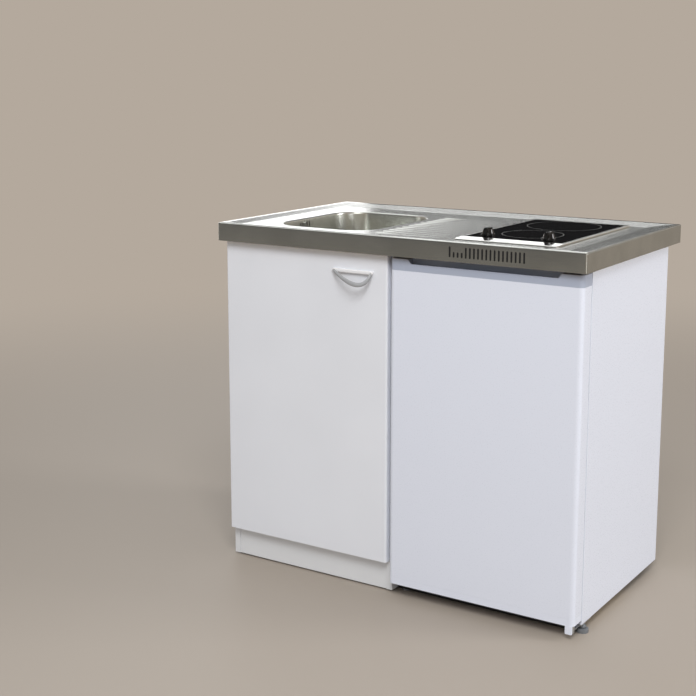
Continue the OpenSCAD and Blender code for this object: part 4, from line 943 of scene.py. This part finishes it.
def bowl(p):
    """The bowl's round walls, its left wall with the overflow slots, and its floor."""
    turn = p.bowl_floor + p.fillet
    levels = [(0.0, p.field - p.roll_radius), (p.draft, turn)]
    levels += [polar(p.draft + p.fillet, turn, -p.fillet, a) for a in (15, 30, 45, 60, 75, 90)]
    walls = [at(bowl_loop(p, -i), z) for i, z in levels]
    verts, faces = rings(walls)
    top = levels[0][1]

    def at_left(face):
        a, b = verts[face[0]], verts[face[1]]
        return max(face) < 2 * len(walls[0]) and abs(a[0] - p.bx0) < 0.01 and abs(b[1] - a[1]) > 100

    round_walls = verts, [face for face in faces if not at_left(face)]
    foot = p.field - OVERFLOW_FOOT
    slots = []
    for i in range(-2, 3):
        tall = OVERFLOW_TALL if i else OVERFLOW_SHORT
        y = p.y0 + OVERFLOW_PLACE + i * OVERFLOW_PITCH
        loop = stadium_loop(foot + OVERFLOW_RADIUS, foot + tall - OVERFLOW_RADIUS, 0,
                            OVERFLOW_RADIUS, VENT_STEPS)
        slots.append([(y + OVERFLOW_WIDER * b, a) for a, b in loop])
    ya, yb = p.by0 + p.corner, p.by1 - p.corner
    left_wall = filled([[(ya, turn), (yb, turn), (yb, top), (ya, top)]], slots,
                       lambda y, z: (p.bx0 + p.draft * (top - z) / (top - turn), y, z))
    cx, cy = (p.bx0 + p.bx1) / 2, (p.by0 + p.by1) / 2
    hole = [polar(cx, cy, WASTE_HOLE, a) for a in range(0, 360, 6)]
    base = [(x, y) for x, y, _ in walls[-1]]
    return round_walls, left_wall, filled([base], [hole], lambda x, y: (x, y, p.bowl_floor))


class KITCHENETTE_OT_sheet(bpy.types.Operator):
    """The pressed worktop: folded apron with vents, stepped rim, ribs and the drawn bowl"""

    bl_idname = "kitchenette.sheet"
    bl_label = "Pressed Worktop"

    def execute(self, context):
        p = sheet_plan(context.scene.kitchenette_sheet)
        # A black sheet just behind the vents: painted shade, so that the slots look dark
        plate = rounded_loop(p.vent_x - SHADE_SHEET_HALF, p.z1 - SHADE_SHEET_FOOT, p.vent_x + SHADE_SHEET_HALF,
                             p.z1 - SHADE_SHEET_TOP, SHADE_SHEET_CORNER, 5)
        loops = [[(x, p.y0 + y, z) for x, z in plate] for y in (SHADE_SHEET_BACK, SHADE_SHEET_FRONT)]
        mesh = mesh_from("vent_shade_backing", *rings(loops, capped=True), weld=0)
        place(mesh, "vent_shade_backing", "unit", "vent_shade_black")

        rim = rim_loops(p)
        parts = [field(p, rim[-1]), rings(rim), *apron(p, rim[0][0][2]), *bowl(p)]
        mesh = mesh_from("sheet", *joined(parts), weld=0.02, outward=True)
        with edited(mesh) as work:
            # The gauge is laid on below, so the upper face has to look up
            upper = max(work.faces, key=lambda f: f.calc_center_median().z + f.calc_area())
            if upper.normal.z < 0:
                bmesh.ops.reverse_faces(work, faces=work.faces)
            for face in work.faces:
                x, y, z = face.calc_center_median() / MM
                in_bowl = p.bx0 - 1 < x < p.bx1 + 1 and p.by0 - 1 < y < p.by1 + 1
                face.material_index = int(in_bowl and z < p.field - p.roll_radius * 0.5)
        mesh.materials.append(FINISH["sheet_steel"])
        mesh.materials.append(FINISH["bowl_steel"])
        mesh = modified(mesh, "SOLIDIFY", thickness=GAUGE * MM, offset=-1.0, use_rim=True)
        place(smooth(mesh, 50.0), "pressed_sheet", "unit",
              replaces=("worktop", "sink_bowl"))
        return {"FINISHED"}


class KITCHENETTE_OT_drain(bpy.types.Operator):
    """Waste fitting, basket, overflow and trap with softened edges"""

    bl_idname = "kitchenette.drain"
    bl_label = "Drain"

    def execute(self, context):
        dressed("strainer_waste", "unit", "bright_steel", 0.35)
        dressed("strainer_basket", "strainer_basket", "bright_steel", 0.4)
        dressed("overflow_screw", "unit", "bright_steel", 0.3)
        # The overflow box is drawn black, not in its white drain plastic: painted shade that makes
        # the overflow slots look dark
        dressed("overflow_box", "unit", "drain_plastic", 0.6, finish="black_plastic")
        for node in ("overflow_pipe", "trap_body", "trap_outlet"):
            dressed(node, "unit", "drain_plastic", 0.6)
        return {"FINISHED"}


# ---------------------------------------------------------------- the hob

PRINT_LIFT = 0.03  # printed marks lie this far above the surface, in mm
ZONE_DOTS = 132


class KITCHENETTE_OT_hob(bpy.types.Operator):
    """Hob frame, the glass with its printed rings, and the parts under it"""

    bl_idname = "kitchenette.hob"
    bl_label = "Hob"

    def execute(self, context):
        s = context.scene.kitchenette_hob
        x0, y0, z0 = HOB_LO
        x1, y1, z1 = HOB_HI
        side, front, back = GLASS_LO[0] - x0, GLASS_LO[1] - y0, y1 - GLASS_HI[1]
        # share of the strip's width at the front and at the other sides, and the height there
        loops = []
        for front_k, side_k, z in (
                (0, 0, z0 + 0.05), (0, 0, z0 + 1.3), (0.015, 0.02, z0 + 2.0),
                (0.05, 0.04, z0 + 2.6), (0.10, 0.06, z0 + 2.9), (0.35, 0.09, z0 + 3.5),
                (0.6, 0.13, z1 - 0.9), (0.86, 0.19, z1 - 0.2), (0.91, 0.28, z1),
                (0.94, 0.9, z1 - 0.03), (0.97, 0.95, z1 - 0.5), (0.99, 0.98, z1 - 1.2),
                (0.999, 0.998, z1 - 1.5), (0.999, 0.998, z0 + 0.9), (0.9, 0.9, z0 + 0.05),
                (0, 0, z0 + 0.05)):
            across, along = side * side_k, front * front_k
            loop = rounded_loop(x0 + across, y0 + along, x1 - across, y1 - back * side_k,
                                5.0 - 2.5 * side_k, 8)
            loops.append(at(loop, z))
        mesh = mesh_from("hob_frame", *rings(loops), weld=0.001, outward=True)
        place(smooth(mesh, 40.0), "hob_rim", "unit", "bright_steel", ("hob_frame",))
        dressed("hob_glass", "unit", "ceramic_glass", 0.9, 3)
        for node, slot, bevel in (
                ("hob_pan", "zinc_sheet", 0.3), ("hob_clamps", "zinc_sheet", 0.2),
                ("hob_gland", "black_plastic", 0.5), ("heater_rear", "heater_mineral", 0.5),
                ("heater_front", "heater_mineral", 0.5), ("regulator_left", "beige_plastic", 0.8),
                ("regulator_right", "beige_plastic", 0.8)):
            dressed(node, "unit", slot, bevel)

        for name, radius in (("rear", s.rear_zone), ("front", s.front_zone)):
            lo, hi = cad("heater_" + name)
            centre = ((x0 + x1) / 2 * MM, (lo[1] + hi[1]) / 2 * MM, (GLASS_HI[2] + PRINT_LIFT) * MM)
            mesh = dotted_ring(name, radius, s.dot, centre)
            place(mesh, "zone_" + name, "unit")
        return {"FINISHED"}


def dotted_ring(name, radius, dot, centre):
    """Dots round a circle, made by Geometry Nodes; the sizes are in metres."""
    tree = bpy.data.node_groups.new("dotted_ring_" + name, "GeometryNodeTree")
    tree.interface.new_socket("Geometry", in_out="OUTPUT", socket_type="NodeSocketGeometry")
    inputs = {}
    for label, value in zip(("Radius", "Dot", "X", "Y", "Z"), (radius, dot, *centre)):
        socket = tree.interface.new_socket(label, in_out="INPUT", socket_type="NodeSocketFloat")
        inputs[socket.identifier] = value
    entry = add(tree, "NodeGroupInput")
    middle = add(tree, "ShaderNodeCombineXYZ", {axis: (entry, axis) for axis in "XYZ"})
    half = add(tree, "ShaderNodeMath", {0: (entry, "Dot"), 1: 0.5}, operation="MULTIPLY")
    disc = add(tree, "GeometryNodeMeshCircle", {"Vertices": 10, "Radius": (half, 0)},
               fill_type="NGON")
    ring = add(tree, "GeometryNodeMeshCircle",
               {"Vertices": ZONE_DOTS, "Radius": (entry, "Radius")})
    dots = add(tree, "GeometryNodeInstanceOnPoints",
               {"Points": (ring, "Mesh"), "Instance": (disc, "Mesh")})
    moved = add(tree, "GeometryNodeTransform",
                {"Geometry": (dots, "Instances"), "Translation": (middle, "Vector")})
    solid = add(tree, "GeometryNodeRealizeInstances", {"Geometry": (moved, "Geometry")})
    painted = add(tree, "GeometryNodeSetMaterial",
                  {"Geometry": (solid, "Geometry"), "Material": FINISH["print_grey"]})
    add(tree, "NodeGroupOutput", {"Geometry": (painted, "Geometry")})
    return modified(bpy.data.meshes.new("zone_" + name), "NODES", inputs, node_group=tree)


class KITCHENETTE_OT_knobs(bpy.types.Operator):
    """The two hob knobs with their grips and pointer marks"""

    bl_idname = "kitchenette.knobs"
    bl_label = "Knobs"

    def execute(self, context):
        half, start, short = 0.6, 4.0, 2.6  # the mark's half width and its gaps to axis and edge
        for node in ("knob_left", "knob_right"):
            dressed(node, node, "black_plastic", 0.9, 3)
            lo, hi = cad(node)
            cx, cy, r = (lo[0] + hi[0]) / 2, (lo[1] + hi[1]) / 2, (hi[0] - lo[0]) / 2
            mark = rounded_loop(cx - half, cy + start, cx + half, cy + r - short, 0.5, 4)
            verts = at(mark, hi[2] + PRINT_LIFT)
            mesh = mesh_from(node + "_mark", verts, [list(range(len(verts)))], weld=0)
            place(mesh, node + "_mark", node, "print_white")
        return {"FINISHED"}


# ---------------------------------------------------------------- the cabinet


class KITCHENETTE_OT_boards(bpy.types.Operator):
    """Boards of the cabinet with their softened edge bands, and the door"""

    bl_idname = "kitchenette.boards"
    bl_label = "Cabinet Boards"

    def execute(self, context):
        edge = context.scene.kitchenette_cabinet.edge / MM
        boards = ("cabinet_side_left", "cabinet_side_right", "cabinet_floor", "cabinet_rails",
                  "plinth")
        for node in boards:
            dressed(node, "unit", "carcass_board", edge * 0.6)
        dressed("cabinet_door", "cabinet_door", "door_board", edge, upright=5.0)
        for node, body, slot, bevel in (
                ("cabinet_back", "unit", "carcass_board", 0.3),
                ("subframe", "unit", "batten_wood", 0.5),
                ("cabinet_glides", "unit", "grey_plastic", 0.6),
                ("hinge_arms", "unit", "zinc_sheet", 0.6),
                ("hinge_cups", "cabinet_door", "zinc_sheet", 0.3),
                ("handle_screws", "cabinet_door", "zinc_sheet", 0.3),
                ("door_bumpers", "cabinet_door", "white_plastic", 0.5)):
            dressed(node, body, slot, bevel)
        return {"FINISHED"}


class KITCHENETTE_OT_handle(bpy.types.Operator):
    """The moulded handle: a straight rail and a bow swept as one smooth oval"""

    bl_idname = "kitchenette.handle"
    bl_label = "Handle"

    def execute(self, context):
        rail_h, rail_t = 9.0, 7.0
        bow_t, bow_h = 3.2, 5.6  # half thickness and half height of the bow's oval
        boss, past_boss = 3.6, 10.0  # radius of the screws' bosses, and the rail beyond them
        steps, sides = 72, 28
        face = cad("cabinet_door")[0][1]
        screws_lo, screws_hi = cad("handle_screws")
        z = screws_lo[2] + boss
        left = screws_lo[0] + boss - past_boss + rail_h / 2
        width = screws_hi[0] - boss + past_boss - rail_h / 2 - left
        out = face - cad("door_handle")[0][1] - rail_t / 2 - bow_t
        drop = context.scene.kitchenette_cabinet.bow_drop / MM

        def point(t):
            """The bow's middle line, lowest to the right of its middle as in the photograph."""
            k, m = 3 * t * (1 - t) ** 2, 3 * t * t * (1 - t)
            return Vector((left + width * (0.4 * k + 0.95 * m + t ** 3),
                           face - rail_t / 2 - out * max(0.0, math.sin(math.pi * t)) ** 0.8,
                           z - drop * 0.975 * (0.45 * k + 2.05 * m)))

        loops = []
        for i in range(steps + 1):
            t = i / steps
            along = (point(min(1, t + 0.01)) - point(max(0, t - 0.01))).normalized()
            flat = Vector((along.x, along.y, 0)).normalized()
            across = Vector((flat.y, -flat.x, 0))
            up = across.cross(along)
            taper = 0.62 + 0.38 * math.sin(math.pi * t)
            ring = []
            for k in range(sides):
                a = 2 * math.pi * k / sides
                p = point(t) + across * bow_t * math.cos(a) + up * bow_h * taper * math.sin(a)
                ring.append((p.x, min(p.y, face - 0.4), p.z))
            loops.append(ring)
        bow = rings(loops, capped=True)
        layers = []
        # inset of the rail's outline and how far it stands out there
        for inset, y in ((0, 0), (0, 4.6), (0.35, 5.6), (1.0, 6.4), (2.0, 6.9), (3.2, rail_t)):
            loop = stadium_loop(left, left + width, z, rail_h / 2 - inset, 10)
            layers.append([(a, face - y, b) for a, b in loop])
        rail = rings(layers, capped=True)
        mesh = mesh_from("handle", *joined([bow, rail]), weld=0.001, outward=True)
        # The bow gets the grey of painted shade, the rail stays white
        mesh.polygons.foreach_set(
            "material_index", [int(i < len(bow[1])) for i in range(len(mesh.polygons))])
        mesh.materials.append(FINISH["white_plastic"])
        mesh.materials.append(FINISH["handle_grey"])
        place(smooth(mesh, 40.0), "bow_handle", "cabinet_door",
              replaces=("door_handle",))
        return {"FINISHED"}


# ---------------------------------------------------------------- the refrigerator


class KITCHENETTE_OT_fridge(bpy.types.Operator):
    """The refrigerator's outer sheet and its door with the strips"""

    bl_idname = "kitchenette.fridge"
    bl_label = "Refrigerator"

    def execute(self, context):
        edge = context.scene.kitchenette_fridge.edge / MM
        door = "fridge_door"
        dressed("fridge_wrap", "unit", "fridge_paint", 0.45)
        dressed("fridge_door_panel", door, "fridge_paint", 0.4)
        dressed("door_top_trim", door, "strip_plastic", edge, 3)
        dressed("door_bottom_trim", door, "white_plastic", edge * 0.6, finish="trim_plastic")
        dressed("fridge_door_liner", door, "white_plastic", 1.2)
        dressed("door_gasket", door, "seal_rubber", 0.8)
        dressed("door_rack_upper", door, "clear_plastic", 0.8)
        dressed("door_rack_lower", door, "clear_plastic", 0.8)
        return {"FINISHED"}


class KITCHENETTE_OT_larder(bpy.types.Operator):
    """What is inside, under and behind the refrigerator"""

    bl_idname = "kitchenette.larder"
    bl_label = "Larder"

    def execute(self, context):
        for node, slot, bevel in (
                ("fridge_liner", "white_plastic", 1.5), ("fridge_base", "dark_steel", 0.3),
                ("compressor", "dark_steel", 1.2), ("condenser", "dark_steel", 0.15),
                ("drip_tray", "tray_plastic", 0.6), ("thermostat_housing", "white_plastic", 1.2),
                ("lamp_cover", "white_plastic", 0.5), ("glass_shelf_upper", "shelf_glass", 0.5),
                ("glass_shelf_lower", "shelf_glass", 0.5), ("crisper_cover", "shelf_glass", 0.5),
                ("front_feet", "grey_plastic", 0.6), ("rear_feet", "grey_plastic", 0.8),
                ("lower_hinge", "zinc_sheet", 0.4), ("upper_hinge", "zinc_sheet", 0.4),
                # The front rail's black lacquer is the rail's own colour and also stands for the
                # shade in the gap under the door
                ("front_rail", "dark_steel", 0.3), ("fridge_insulation", "foam", 0.0)):
            dressed(node, "unit", slot, bevel)
        dressed("crisper_drawer", "crisper_drawer", "clear_plastic", 0.8)
        dressed("thermostat_knob", "thermostat_knob", "white_plastic", 0.9, 3)
        return {"FINISHED"}


# ---------------------------------------------------------------- panel and run


class KITCHENETTE_PT_panel(bpy.types.Panel):
    """Lists the settings, and the pieces in the order they are made"""

    bl_label = "Kitchenette Unit"
    bl_idname = "KITCHENETTE_PT_panel"
    bl_space_type = "VIEW_3D"
    bl_region_type = "UI"
    bl_category = "Kitchenette"

    def draw(self, context):
        for group in ("stage", "sheet", "hob", "cabinet", "fridge"):
            box = self.layout.box()
            settings = getattr(context.scene, "kitchenette_" + group)
            for key in settings.__annotations__:
                box.prop(settings, key)
        for operator in OPERATORS:
            self.layout.operator(operator.bl_idname)


GROUPS = {
    "kitchenette_stage": KitchenetteStage,
    "kitchenette_sheet": KitchenetteSheet,
    "kitchenette_hob": KitchenetteHob,
    "kitchenette_cabinet": KitchenetteCabinet,
    "kitchenette_fridge": KitchenetteFridge,
}
OPERATORS = (
    KITCHENETTE_OT_finishes,
    KITCHENETTE_OT_stage,
    KITCHENETTE_OT_sheet,
    KITCHENETTE_OT_drain,
    KITCHENETTE_OT_hob,
    KITCHENETTE_OT_knobs,
    KITCHENETTE_OT_boards,
    KITCHENETTE_OT_handle,
    KITCHENETTE_OT_fridge,
    KITCHENETTE_OT_larder,
)


def register():
    for group in GROUPS.values():
        bpy.utils.register_class(group)
    for cls in OPERATORS + (KITCHENETTE_PT_panel,):
        bpy.utils.register_class(cls)
    for name, group in GROUPS.items():
        setattr(bpy.types.Scene, name, PointerProperty(type=group))


def unregister():
    for name in GROUPS:
        delattr(bpy.types.Scene, name)
    for cls in reversed(tuple(GROUPS.values()) + OPERATORS + (KITCHENETTE_PT_panel,)):
        bpy.utils.unregister_class(cls)


def main():
    register()
    for operator in OPERATORS:
        group, name = operator.bl_idname.split(".")
        getattr(getattr(bpy.ops, group), name)()


if __name__ == "__main__":
    main()
